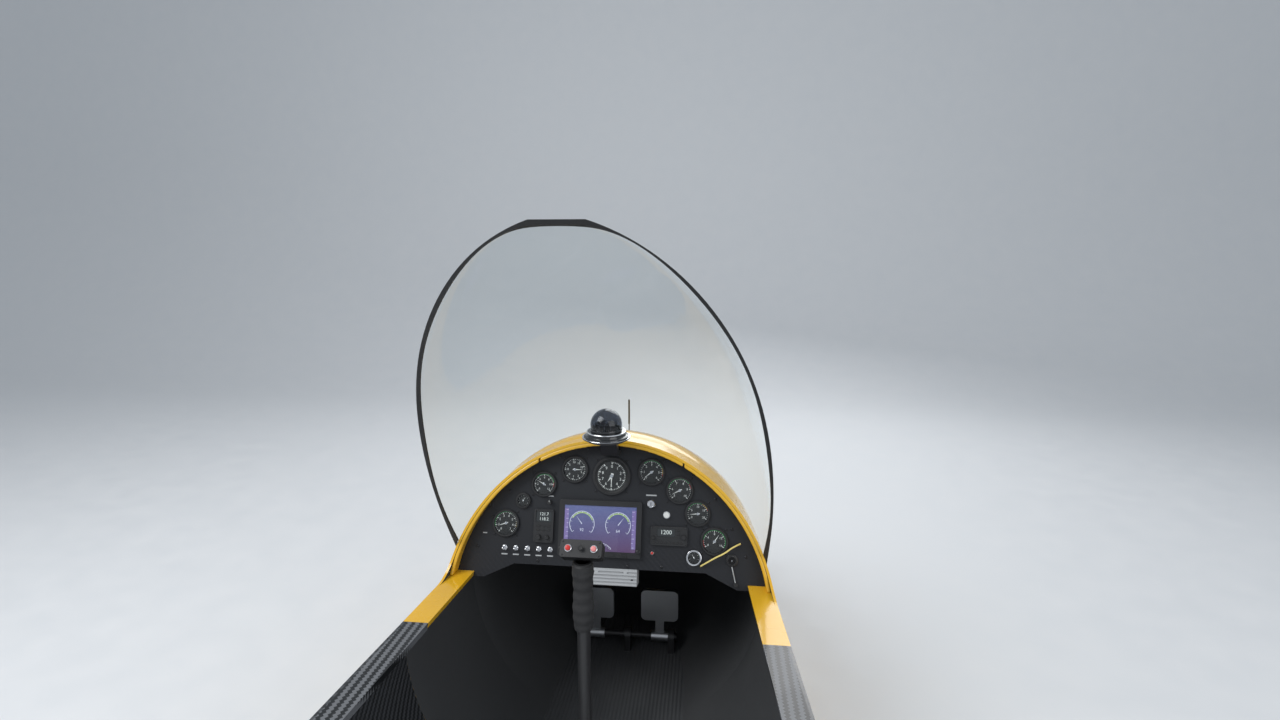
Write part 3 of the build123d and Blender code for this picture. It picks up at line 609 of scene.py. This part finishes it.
def thin_glass(name, tint, smooth, share):
    """A clear sheet: light passes straight through, with a Fresnel reflection and faint wipe marks."""
    material = bpy.data.materials.new(name)
    material.use_nodes = True
    tree = material.node_tree
    tree.nodes.remove(tree.nodes["Principled BSDF"])
    grain = use(tree, GRAIN, Scale=120.0, Smooth=smooth, Rough=smooth + 0.06, Relief=0.01)
    through = add(tree, "ShaderNodeBsdfTransparent", Color=tint)
    shine = add(tree, "ShaderNodeBsdfGlossy", Color=(1, 1, 1, 1), Roughness=grain.outputs["Roughness"])
    fresnel = add(tree, "ShaderNodeFresnel", IOR=1.45)
    entering = calc(tree, "SUBTRACT", 1.0, add(tree, "ShaderNodeNewGeometry").outputs["Backfacing"])
    factor = calc(tree, "MULTIPLY", calc(tree, "MULTIPLY", fresnel.outputs[0], entering), share)
    mixed = add(tree, "ShaderNodeMixShader", in0=factor, in1=through.outputs[0], in2=shine.outputs[0])
    tree.links.new(mixed.outputs[0], tree.nodes["Material Output"].inputs["Surface"])
    return material


LENS = thin_glass("lens", (0.96, 0.97, 0.97, 1), 0.02, 0.8)
finish_node(BEZEL, "gauge_centre", "gauges_standard", "gauges_small")


def mark_outline(inner, outer, half_width, angle):
    """A straight printed mark that points away from the dial's centre."""
    base, tip, aside = clock(inner, angle), clock(outer, angle), clock(half_width, angle + 90)
    return [
        (base[0] - aside[0], base[1] - aside[1]),
        (base[0] + aside[0], base[1] + aside[1]),
        (tip[0] + aside[0], tip[1] + aside[1]),
        (tip[0] - aside[0], tip[1] - aside[1]),
    ]


# Dials: u, v, flange radius, printed radius, start and end of the scale in degrees clockwise from the top,
# steps between numbers, marks in each step, numbers, needle's angle, second needle's angle or None, and
# coloured arcs as shares of the scale with 0 for green, 1 for amber and 2 for red
DIALS = [
    (0, 60, 40, 31, 0, 324, 9, 5, "0 1 2 3 4 5 6 7 8 9", 180, 214, ()),
    (
        -222, -46, 28.5, 24.2, -140, 140, 7, 4, "0 1 2 3 4 5 6 7", -108, None,
        ((0.12, 0.72, 0), (0.72, 0.9, 1)),
    ),
    (-144, 38, 27, 21.5, -135, 135, 6, 5, "0 2 4 6 8 10 12", -62, None, ((0.3, 0.8, 0), (0.8, 0.88, 2))),
    (-79, 71, 28.5, 23.5, -90, 230, 8, 4, "0 5 10 15 10 5 2 1 0", 90, None, ()),
    (
        84, 71, 28.5, 24.2, -135, 135, 6, 4, "0 1 2 3 4 5 6", -128, None,
        ((0.35, 0.75, 0), (0.75, 0.86, 1), (0.86, 0.9, 2)),
    ),
    (144, 36, 28.5, 24.2, -135, 135, 5, 5, "5 6 7 8 9 10", -118, None, ((0.2, 0.7, 0), (0.7, 0.8, 2))),
    (
        182, -10, 26.5, 22.0, -120, 120, 4, 5, "0 5 10 15 20", -96, None,
        ((0.2, 0.6, 0), (0.6, 0.75, 1), (0.75, 0.8, 2)),
    ),
    (217, -64, 28.5, 23.2, -120, 120, 4, 5, "0 4 8 12 16", 34, None, ((0.0, 0.15, 2), (0.15, 1.0, 0))),
    (-187, 2, 16, 11.8, -120, 120, 4, 2, "", 25, None, ((0.4, 0.8, 0),)),
    (176, -98, 15.5, 11.2, -110, 110, 4, 2, "", -30, None, ((0.5, 0.85, 0),)),
]
dials = Piece("dial_faces", "pod", DIAL_BLACK, MARK_WHITE, MARK_GREEN, MARK_AMBER, MARK_RED, BRIGHT)
lenses = Piece("dial_lenses", "pod", LENS)
gauge_screws = Piece("gauge_screws", "pod", BLACK_SCREW, HOLE_PAINTED_SHADE)
BEZEL_EDGE = 4.05
for u, v, flange, dial, start, end, steps, marks, numbers, needle, second, arcs in DIALS:
    bore = flange - BEZEL_EDGE
    at = panel_frame(u, v, 2.0)
    dials.turned(at, [(0, 0.02), (bore, 0.02), (bore, 0.5), (bore - 0.4, 0.6), (0, 0.6)], 0, 48)
    whole = steps * marks
    for mark in range(whole + 1):
        angle = start + (end - start) * mark / whole
        major = mark % marks == 0
        reach = dial * (0.80 if major else 0.87)
        width = (0.030 if major else 0.016) * dial
        dials.flat(at, mark_outline(reach, dial * 0.95, width, angle), 0.55, 0.72, 1)
    for index, number in enumerate(numbers.split()):
        x, y = clock(dial * 0.64, start + (end - start) * index / steps)
        dials.figures(at, number, dial * 0.27, x, y, 0.68, 1)
    for low, high, tint in arcs:
        first, last = start + (end - start) * low, start + (end - start) * high
        dials.band(at, dial * 0.955, dial * 0.995, first, last, 0.55, 0.7, 2 + tint)
    for angle, reach, width, low in ((second, 0.48, 0.075, 0.9), (needle, 0.80, 0.05, 1.2)):
        if angle is None:
            continue
        tip = clock(dial * reach, angle)
        back = clock(dial * 0.2, angle + 180)
        aside = clock(dial * width, angle + 90)
        outline = [
            (back[0] - aside[0] * 0.7, back[1] - aside[1] * 0.7),
            (back[0] + aside[0] * 0.7, back[1] + aside[1] * 0.7),
            (aside[0], aside[1]),
            tip,
            (-aside[0], -aside[1]),
        ]
        dials.flat(at, list(reversed(outline)), low, low + 0.3, 1)
    dials.turned(at, [(0, 0.5), (dial * 0.12, 0.5), (dial * 0.12, 1.9), (dial * 0.09, 2.1), (0, 2.1)], 5, 16)
    rim = [(bore, 0.5), (bore, 3.3), (bore - 0.4, 3.5), (dial + 0.5, 1.4), (dial + 0.3, 0.5), (bore, 0.5)]
    dials.turned(at, rim, 0, 48)
    dome = [(0, 3.0), (dial - 0.1, 2.4), (dial - 0.1, 2.8), (dial * 0.6, 3.5), (0, 3.7)]
    lenses.turned(at, dome, 0, 48)
    if flange > 20:
        for corner in range(4):
            x, y = clock(flange + 5.5, 45 + 90 * corner)
            gauge_screws.screw(panel_frame(u + x, v + y), 2.3, 1.5)
ring = [(14.4, 3.5), (15.4, 3.2), (15.5, 3.9), (14.6, 4.3), (12.4, 4.2), (12.2, 3.6), (14.4, 3.5)]
dials.turned(panel_frame(176, -98, 2.0), ring, 5, 48)
dials.turned(panel_frame(-187, 2, 2.0), [(x + 0.4, y) for x, y in ring], 0, 48)
dials.done("black_bezel")
lenses.done("black_bezel")
gauge_screws.done("black_bezel")


# Display: a moulded case with a glass front. The picture under the glass is lit from behind: a violet
# and blue ground with two dials, side scales and a heading arc. Soft keys stand along the lower edge.


def lit(name, colour, strength):
    """A lit layer of the picture, dimmed a little by slow bands as a flat panel is."""
    material, tree, shader = principled(name, Roughness=0.3, Emission_Strength=strength)
    place = add(tree, "ShaderNodeTexCoord").outputs["Object"]
    bands = add(
        tree, "ShaderNodeTexWave", {"bands_direction": "Z"}, Vector=place, Scale=260.0, Distortion=0.0,
    )
    darker = tuple(0.82 * part for part in colour[:3]) + (1,)
    tint = blend(tree, bands.outputs["Fac"], darker, colour)
    tree.links.new(tint, shader.inputs["Base Color"])
    tree.links.new(tint, shader.inputs["Emission Color"])
    return material


SKY, sky_tree, sky_shader = principled("picture_ground", Roughness=0.25, Emission_Strength=0.22)
sky_parts = add(sky_tree, "ShaderNodeSeparateXYZ", in0=add(sky_tree, "ShaderNodeTexCoord").outputs["Object"])
sky_rise = add(sky_tree, "ShaderNodeMapRange", in0=sky_parts.outputs[2], in1=0.470, in2=0.556)
sky_side = add(sky_tree, "ShaderNodeMapRange", in0=sky_parts.outputs[0], in1=-0.096, in2=0.056)
sky_cloud = add(sky_tree, "ShaderNodeTexNoise", Scale=22.0, Detail=4.0)
sky_low = blend(sky_tree, sky_side.outputs[0], (0.07, 0.045, 0.13, 1), (0.14, 0.075, 0.16, 1))
sky_high = blend(sky_tree, sky_cloud.outputs["Fac"], (0.09, 0.11, 0.27, 1), (0.17, 0.18, 0.36, 1))
sky_mix = blend(sky_tree, sky_rise.outputs[0], sky_low, sky_high)
sky_tree.links.new(sky_mix, sky_shader.inputs["Base Color"])
sky_tree.links.new(sky_mix, sky_shader.inputs["Emission Color"])
PALE_LIT = lit("pale_lit", (0.70, 0.72, 0.85, 1), 0.3)
GREEN_LIT = lit("green_lit", (0.40, 0.55, 0.22, 1), 0.3)
VIOLET_LIT = lit("violet_lit", (0.24, 0.18, 0.42, 1), 0.25)
NUMBER_LIT = lit("number_lit", (0.62, 0.68, 0.66, 1), 0.35)
finish_node(BEZEL, "display", "radio", "transponder")
DISPLAY_U, DISPLAY_V = -20, -48
picture = Piece("display_picture", "pod", SKY, PALE_LIT, GREEN_LIT, VIOLET_LIT, BEZEL)
screen_at = panel_frame(DISPLAY_U, DISPLAY_V, 7.0)
picture.flat(screen_at, rounded(151.6, 91.6, 0.6), 0.02, 0.5)
for side in (-1, 1):
    middle = panel_frame(DISPLAY_U + 38 * side, DISPLAY_V + 8, 7.0)
    picture.band(middle, 25.5, 26.6, -130, 130, 0.45, 0.6, 1)
    picture.band(middle, 22.0, 24.6, -60, 70, 0.45, 0.6, 2)
    for mark in range(11):
        angle = -130 + 26 * mark
        inner = 21.5 if mark % 2 == 0 else 23.0
        picture.flat(middle, mark_outline(inner, 25.6, 0.35, angle), 0.45, 0.62, 1)
    hand = 38 * side
    tip, wide = clock(20, hand), clock(0.9, hand + 90)
    picture.flat(middle, [tip, (-wide[0], -wide[1]), wide], 0.5, 0.75, 1)
    picture.figures(middle, ("92", "64")[side > 0], 8.5, 0, -12, 0.6, 1)
    ladder = panel_frame(DISPLAY_U + 71 * side, DISPLAY_V, 7.0)
    picture.flat(ladder, rounded(8.5, 78, 0.5), 0.45, 0.55, 3)
    for step in range(9):
        reach = 5.0 if step % 2 == 0 else 3.0
        notch = [(x - side * (4.0 - reach / 2), y + 9.0 * (step - 4)) for x, y in rounded(reach, 0.7, 0.1, 1)]
        picture.flat(ladder, notch, 0.5, 0.66, 1)
foot = panel_frame(DISPLAY_U, DISPLAY_V - 62, 7.0)
picture.band(foot, 33.0, 33.8, -48, 48, 0.45, 0.6, 1)
for mark in range(13):
    picture.flat(foot, mark_outline(30.0, 33.4, 0.3, -48 + 8 * mark), 0.45, 0.62, 1)
for step in range(5):
    key = panel_frame(DISPLAY_U - 52 + 26 * step, DISPLAY_V - 51.4, 9.0)
    picture.flat(key, rounded(14, 5.2, 1.2), -0.5, 1.6, 4, 0.5)
for side in (-1, 1):
    knob = panel_frame(DISPLAY_U + 81.4 * side, DISPLAY_V - 44, 9.0)
    turned_knob = [(0, -0.5), (4.4, -0.5), (4.4, 0.6), (3.7, 0.9), (3.5, 5.4), (3.0, 5.8), (0, 5.8)]
    picture.turned(knob, turned_knob, 4, 24)
picture.done("black_bezel")
cover = Piece("display_cover", "pod", LENS)
cover.flat(panel_frame(DISPLAY_U, DISPLAY_V, 8.1), rounded(151.4, 91.4, 0.6), 0.0, 0.7, 0, 0.2)
cover.done("black_bezel")

# Radio and transponder: dark moulded fronts with pale number displays, small rubber keys in a row,
# turned knobs with a fluted skirt, and corner screws.
RUBBER = grained("rubber", (0.014, 0.014, 0.015, 1), (0.024, 0.024, 0.025, 1), 0.6, 0.8, 0.3, 500.0)
WINDOW_GREY = grained(
    "window_grey", (0.030, 0.034, 0.036, 1), (0.040, 0.044, 0.046, 1), 0.22, 0.3, 0.03, 500.0,
)
units = Piece("radio_details", "pod", WINDOW_GREY, NUMBER_LIT, RUBBER, BEZEL, BLACK_SCREW, HOLE_PAINTED_SHADE)


def knurled(piece, at, radius, height, material, flutes=18):
    """A small knob with a fluted skirt and a dished top."""
    outline = []
    for step in range(flutes * 4):
        swell = radius * (1 + 0.035 * math.cos(math.radians(360 * step / 4)))
        angle = math.radians(360 * step / (flutes * 4))
        outline.append((swell * math.cos(angle), swell * math.sin(angle)))
    piece.flat(at, outline, 0.0, height, material, 0.5)
    dish = [(0, height - 0.3), (radius * 0.7, height - 0.3), (radius * 0.66, height + 0.25), (0, height)]
    piece.turned(at, dish, material, 24)


def number_window(piece, at, width, height, text, size):
    """A dark window with lit figures."""
    piece.flat(at, rounded(width - 0.4, height - 0.4, 0.5), 0.02, 0.5, 0)
    for line, words in enumerate(text):
        y = (len(text) / 2 - 0.5 - line) * height * 0.46
        piece.figures(at, words, size, 0, y, 0.55, 1)


number_window(units, panel_frame(-140, -29, 4.0), 34, 22, ("121.7", "118.2"), 9.0)
for column in range(3):
    for line in range(2):
        key = panel_frame(-151 + 11 * column, -48 - 8 * line, 6.0)
        units.flat(key, rounded(7.6, 4.4, 1.2), -0.4, 1.1, 2, 0.4)
knurled(units, panel_frame(-149, -71, 6.0), 5.0, 8.0, 3)
knurled(units, panel_frame(-131, -71, 6.0), 4.0, 7.0, 3)
number_window(units, panel_frame(118, -50, 4.0), 38, 17, ("1200",), 12.0)
for column in range(8):
    units.flat(panel_frame(92.5 + 8.1 * column, -70.5, 6.0), rounded(5.6, 4.0, 1.0), -0.4, 1.1, 2, 0.4)
for line in range(2):
    units.flat(panel_frame(143.5, -44.5 - 8.0 * line, 6.0), rounded(6.0, 4.4, 1.0), -0.4, 1.1, 2, 0.4)
knurled(units, panel_frame(154.5, -58, 6.0), 4.6, 8.0, 3)
knurled(units, panel_frame(92, -61, 6.0), 3.2, 6.0, 3)
for u, v in ((-158, -17), (-122, -17), (-158, -79), (-122, -79), (89, -41), (159, -41), (159, -73)):
    units.screw(panel_frame(u, v, 6.0), 1.6, 0.9, 4, 5)
units.done("black_bezel")

# Small controls: turned knobs, a key switch with its key slot, a white push button in a chrome collar,
# a red warning lamp, and a power socket with the pale strap of its cap hanging from it
WHITE = grained("white_plastic", (0.72, 0.72, 0.70, 1), (0.80, 0.80, 0.78, 1), 0.25, 0.35, 0.05, 500.0)
RED = grained("red_plastic", (0.55, 0.03, 0.025, 1), (0.62, 0.04, 0.03, 1), 0.22, 0.32, 0.05, 500.0)
GREY = grained("grey_plastic", (0.40, 0.41, 0.42, 1), (0.48, 0.49, 0.50, 1), 0.45, 0.6, 0.15, 500.0)
controls = Piece("panel_controls", "pod", BEZEL, BRIGHT, HOLE_PAINTED_SHADE, WHITE, RED, RUBBER, GREY)
knurled(controls, panel_frame(-129, 1), 4.3, 11.6, 0)
controls.flat(panel_frame(-129, 3.4, 11.8), rounded(0.8, 3.6, 0.3), -0.2, 0.15, 3)
collar = [(0, 0), (9, 0), (9, 1.6), (8.2, 2.4), (8.0, 6.4), (7.4, 7.2), (6.2, 7.4), (6.0, 6.8), (0, 6.8)]
controls.turned(panel_frame(85, 6), collar, 1, 40)
# The key slot is a flat dark bar on the collar: painted shade for the slot's depth.
controls.flat(panel_frame(85, 6, 6.9), rounded(1.3, 7.0, 0.4), -0.2, 0.25, 2)
button_collar = [(0, 0), (8, 0), (8, 1.8), (7.2, 2.8), (6.4, 2.8), (6.3, 1.4), (0, 1.4)]
controls.turned(panel_frame(118, -15), button_collar, 1, 40)
controls.turned(panel_frame(118, -15), [(0, 1.0), (6.0, 1.0), (6.0, 5.6), (5.4, 6.4), (0, 6.8)], 3, 36)
controls.turned(panel_frame(90, -93), [(0, 0), (4, 0), (4, 1.6), (3.4, 2.2), (0, 2.2)], 1, 28)
lamp_cap = [(0, 2.0), (2.9, 2.0), (2.9, 3.6), (2.2, 5.2), (1.0, 5.85), (0, 6.0)]
controls.turned(panel_frame(90, -93), lamp_cap, 4, 24)
ring = [(7.4, 0), (12, 0), (12, 2.4), (11, 3.2), (9.4, 3.4)]
ring += [(9.2, 6.4), (8.6, 6.9), (7.8, 6.9), (7.4, 6.4), (7.4, 0)]
controls.turned(panel_frame(253, -100), ring, 0, 44)
# The socket's inside is a shallow dark disc: painted shade for its depth.
controls.turned(panel_frame(253, -100), [(0, 0.2), (7.6, 0.2), (7.6, 1.2), (0, 1.2)], 2, 36)
controls.turned(panel_frame(253, -100), [(0, 1.0), (1.6, 1.0), (1.6, 4.4), (1.1, 5.0), (0, 5.0)], 1, 18)
strap = [on_panel(253 + 1.0 * k, -112 - 4.2 * k, 4 + 1.6 * math.sin(k * 0.7)) for k in range(9)]
controls.drawn(strap, 1.1, 6, 8)
controls.flat(panel_frame(261, -147, 4.6), polygon(4.4, 20), 0.0, 2.4, 5, 0.5)
controls.done("black_bezel", "dimmer_knob", "key_switch", "push_button", "warning_lamp", "power_socket")

# Toggle switches: a hexagonal nut on a threaded neck and a tapered chrome lever with a round tip. A
# blank grey plate is glued below each one, and others stand by the controls. Two black tabs with a
# screw hold the rim's foot.
SWITCH_US = (-222, -197.5, -173, -148.5, -124)
switches = Piece("toggle_switches", "pod", BRIGHT, HOLE_PAINTED_SHADE)
for index, u in enumerate(SWITCH_US):
    at = panel_frame(u, -96)
    switches.flat(at, polygon(6.4, 6, 15 * index), 0, 2.4, 0, 0.5)
    switches.turned(at, [(0, 2.2), (4.6, 2.2), (4.6, 3.6), (3.9, 4.0), (3.4, 3.4), (0, 3.4)], 0, 28)
    # A thin dark cone on the neck's top stands in for the bore that the lever leaves: painted shade.
    switches.turned(at, [(0, 3.2), (3.2, 3.2), (0, 3.5)], 1, 20)
    bat = [(0, 3.0), (1.2, 3.0), (1.25, 5.0), (1.7, 12.0), (2.05, 15.2), (1.8, 16.4), (1.0, 16.95), (0, 17.0)]
    switches.turned(at, bat, 0, 20)
switches.done("switch_metal", "switch_row")
plates = Piece("marker_plates", "pod", GREY, BLACK_SCREW, HOLE_PAINTED_SHADE)
PLATES = [(u, -109.5, 13, 2.6) for u in SWITCH_US]
PLATES += [(-267, -68, 9, 2.2), (85, 23.5, 22, 2.8), (-129, 13.5, 15, 2.4)]
for u, v, width, height in PLATES:
    plates.flat(panel_frame(u, v), rounded(width, height, 0.5), 0.02, 0.6, 0, 0.15)
for u in (-260.5, 260.5):
    plates.flat(panel_frame(u, -9), rounded(15, 9, 1.5), 0.02, 1.6, 1, 0.4)
    plates.screw(panel_frame(u, -9, 1.5), 2.6, 1.6, 1, 2)
plates.done("panel_laminate")

# Relay box: pale ribbed plastic, hung under the panel by two screws, with two hexagonal nuts on its face
finish_node(GREY, "relay_box")
gland = Piece("relay_glands", "pod", GREY, BLACK_SCREW, HOLE_PAINTED_SHADE)
for u in (-34, 50):
    gland.screw(panel_frame(u, -150, 0.0), 2.6, 1.6, 1, 2)
for u in (-24, 36):
    gland.flat(panel_frame(u, -134, 3.0), polygon(4.4, 6), -3.0, -0.2, 0, 0.3)
gland.done("grey_plastic")

# Compass: a black stepped foot with two polished rings, and a card with printed marks and figures that
# floats in a dark tinted bowl, which sits in a black ring with two ribs. Its bracket is painted black.
BLACK_PAINT = grained(
    "black_paint", (0.018, 0.018, 0.019, 1), (0.028, 0.028, 0.030, 1), 0.32, 0.46, 0.15, 600.0,
)
finish_node(BLACK_PAINT, "compass_bracket")
HOOD = grained(
    "hood", (0.010, 0.011, 0.013, 1), (0.016, 0.017, 0.019, 1), 0.05, 0.12, 0.02, 300.0, Coat_Weight=0.6,
)
foot = Piece("compass_foot", "pod", HOOD, BRIGHT)
COMPASS_Y, COMPASS_Z, CARD_LIFT = -48, 722, 17
at = level_frame(0, COMPASS_Y, COMPASS_Z)
skirt = [(0, 0), (47.6, 0), (47.6, 0.8), (46.6, 1.4), (45.2, 1.6), (44.4, 2.4), (44.0, 4.6), (43.0, 5.4)]
skirt += [(39.5, 6.0), (38.8, 7.2), (38.8, 12.6), (37.8, 13.8), (36.4, 14.0), (0, 14.0)]
foot.turned(at, skirt, 0, 72)
band = [(44.6, 1.5), (47.4, 1.5), (47.8, 2.1), (47.4, 2.7), (44.6, 2.7), (44.6, 1.5)]
foot.turned(at, band, 1, 72)
foot.turned(at, [(38.0, 12.2), (38.9, 12.2), (39.0, 13.2), (38.4, 13.9), (36.8, 14.0), (38.0, 12.2)], 1, 72)
foot.done("bright_steel", "compass_base")
card = Piece("compass_card_printed", "pod", DIAL_BLACK, MARK_WHITE, BRIGHT)
card_at = level_frame(0, COMPASS_Y, COMPASS_Z + CARD_LIFT)
card.turned(card_at, [(0, 0), (22.6, 0), (22.6, 11.4), (21.4, 12.0), (0, 12.0)], 0, 60)
for mark in range(36):
    tall = 5.0 if mark % 3 == 0 else 2.8
    turn = Matrix.Rotation(math.radians(10 * mark), 4, "Z") @ Matrix.Translation((22.5, 0, 0))
    turn = turn @ Matrix.Rotation(math.radians(90), 4, "Y")
    stroke = [(-0.6, -0.35), (-0.6, 0.35), (-0.6 - tall, 0.35), (-0.6 - tall, -0.35)]
    card.flat(card_at @ turn, stroke, 0.0, 0.22, 1)
for index, number in enumerate(("0", "3", "6", "9", "12", "15", "18", "21", "24", "27", "30", "33")):
    angle = math.radians(-90 + 30 * index)
    turn = Matrix.Rotation(angle, 4, "Z") @ Matrix.Translation((22.7, 0, 8.4))
    turn = turn @ Matrix.Rotation(math.radians(90), 4, "Z") @ Matrix.Rotation(math.radians(90), 4, "X")
    card.figures(card_at @ turn, number, 5.0, 0, 0, 0.0, 1)
card.turned(card_at, [(0, -2.6), (2.0, -2.6), (2.0, 0.2), (0, 0.2)], 2, 18)
card.done("card_paint", "compass_card")
card_top = Piece("compass_card_top", "pod", MARK_WHITE, BRIGHT)
for mark in range(24):
    inner = 16.5 if mark % 2 == 0 else 18.5
    card_top.flat(card_at, mark_outline(inner, 20.5, 0.4, 15 * mark), 11.9, 12.3)
for index, number in enumerate(("18", "27", "0", "9")):
    x, y = clock(11.5, 90 * index)
    card_top.figures(card_at, number, 6.5, x, y, 12.15)
card_top.turned(card_at, [(0, 11.9), (3.2, 11.9), (2.6, 13.6), (0, 14.2)], 1, 24)
card_top.done("card_paint")
DARK_LENS = thin_glass("dark_lens", (0.50, 0.52, 0.56, 1), 0.01, 1.0)
BOWL_R, BOWL_MIDDLE = 31.6, 26


def bowl_arc(radius, angles):
    """Radius and height along the bowl, from angles in degrees above its middle."""
    turns = [math.radians(angle) for angle in angles]
    return [(radius * math.cos(turn), BOWL_MIDDLE + radius * math.sin(turn)) for turn in turns]


bowl = Piece("compass_bowl", "pod", DARK_LENS, HOOD)
arc = bowl_arc(BOWL_R, range(-20, 91, 5))
arc[-1] = (0, arc[-1][1])
inner_arc = [(max(x - 1.1, 0), y - 0.9) for x, y in reversed(arc)]
inner_arc[0] = (0, inner_arc[0][1])
bowl.turned(at, arc + inner_arc + [arc[0]], 0, 72)
seat = [(29.2, 14.2), (31.2, 14.2), (31.8, 17.6), (31.2, 19.2), (29.2, 19.2), (29.2, 14.2)]
bowl.turned(at, seat, 1, 60)
for turn in (60, 120):
    rib = Matrix.Rotation(math.radians(turn), 4, "Z")
    upright = bowl_arc(31.0, range(-16, 76, 6))
    bowl.drawn([at @ rib @ Vector((x, 0, y)) for x, y in upright], 0.5, 1, 8)
bowl.done("dome_plastic", "compass_dome")

# Windscreen: one blown clear sheet that stands on the nose ahead of the panel. Its free edge sits in a
# soft black rubber channel.
finish_node(RUBBER, "windscreen_trim")
SCREEN_GLASS = thin_glass("screen_glass", (0.965, 0.98, 0.98, 1), 0.03, 0.5)
finish_node(SCREEN_GLASS, "windscreen")

# Nose mast: a thin whip painted black, which stands on the nose ahead of the compass
finish_node(BLACK_PAINT, "nose_mast")

# Stick: a painted tube on a steel yoke, with a moulded rubber grip, swollen at half its height and
# grooved round. The head is a black box with a red button, a hat switch, a pale red button and four screws.
finish_node(BLACK_PAINT, "stick_bracket", "stick_tube", "pedal_shaft")
STEEL = grained("steel", (0.42, 0.43, 0.45, 1), (0.55, 0.56, 0.58, 1), 0.22, 0.36, 0.05, 800.0, Metallic=1.0)
finish_node(STEEL, "roll_yoke")
finish_node(BEZEL, "stick_head")
STICK_Y, GRIP_Z, GRIP_LENGTH, GRIP_RINGS, GRIP_SIDES = -300, 470, 118, 60, 36
grip = Piece("stick_grip_moulded", "stick", RUBBER)
rings = []
for step in range(GRIP_RINGS):
    share = step / (GRIP_RINGS - 1)
    z = GRIP_Z + GRIP_LENGTH * share
    groove = 0.6 * math.cos(share * math.pi * 12) if 0.08 < share < 0.86 else 0.0
    palm = 16.0 + 1.6 * math.sin(share * math.pi * 1.7) ** 2 + groove
    if share < 0.03 or share > 0.97:
        palm = 15.2
    ring = []
    for x, y in polygon(1.0, GRIP_SIDES):
        ring.append(grip.mesh.verts.new(Vector((x * palm, STICK_Y + y * palm * 1.10, z)) / 1000))
    rings.append(ring)
grip.join(rings, 0, GRIP_SIDES)
grip.mesh.faces.new(list(reversed(rings[0])))
grip.mesh.faces.new(rings[-1])
grip.done("grip_foam", "stick_grip")
HEAD_TILT = math.radians(38)
HEAD_Z, HEAD_FRONT = 606, 17


def head_frame(u, v, lift):
    """Local millimetres on the stick head's face."""
    out = Vector((0, -math.cos(HEAD_TILT), math.sin(HEAD_TILT))) * HEAD_FRONT
    middle = (Vector((0, STICK_Y, HEAD_Z)) + out) / 1000
    local = Matrix.Translation(Vector((u, v, lift)) / 1000) @ Matrix.Scale(0.001, 4)
    return Matrix.Translation(middle) @ leaning(HEAD_TILT) @ local


PINK = grained("pink_plastic", (0.72, 0.22, 0.22, 1), (0.78, 0.28, 0.27, 1), 0.25, 0.35, 0.05, 500.0)
head = Piece("head_buttons", "stick", BRIGHT, RED, PINK, RUBBER, BLACK_SCREW, HOLE_PAINTED_SHADE)
for u, cap in ((-21, 1), (21, 2)):
    collar = [(0, -0.2), (6.0, -0.2), (6.0, 1.4), (5.2, 2.0), (4.6, 2.0), (4.6, 0.8), (0, 0.8)]
    button = [(0, 0.6), (4.3, 0.6), (4.3, 4.6), (3.4, 5.6), (1.6, 5.95), (0, 6.0)]
    head.turned(head_frame(u, 0, 0), collar, 0, 32)
    head.turned(head_frame(u, 0, 0), button, cap, 32)
hat = [(0, -0.2), (2.6, -0.2), (2.6, 4.6), (4.4, 5.6), (4.4, 6.6), (3.2, 7.6), (1.6, 7.1), (0, 7.0)]
head.turned(head_frame(0, 0, 0), hat, 3, 32)
for u in (-30, 30):
    for v in (-10.5, 10.5):
        head.screw(head_frame(u, v, 0), 1.5, 0.9, 4, 5)
head.done("red_plastic", "head_controls")

# Pedals: milled aluminium plates on a shared shaft. Each has three rubber tread bars bonded across its
# aft face.
PEDAL_X, PEDAL_FACE_Y, PEDAL_FACE_Z, TREAD_PITCH = 84, 267, 176, 28
for side, x in (("left", -PEDAL_X), ("right", PEDAL_X)):
    tread = Piece("pedal_tread_" + side, "pedal_" + side, RUBBER)
    face = level_frame(x, PEDAL_FACE_Y, PEDAL_FACE_Z) @ Matrix(((1, 0, 0), (0, 0, -1), (0, 1, 0))).to_4x4()
    for row in (-1, 0, 1):
        bar = [(px, py + row * TREAD_PITCH) for px, py in rounded(64, 9, 3)]
        tread.flat(face, bar, -0.3, -0.02, 0, 0.1)
    tread.done("aluminium")
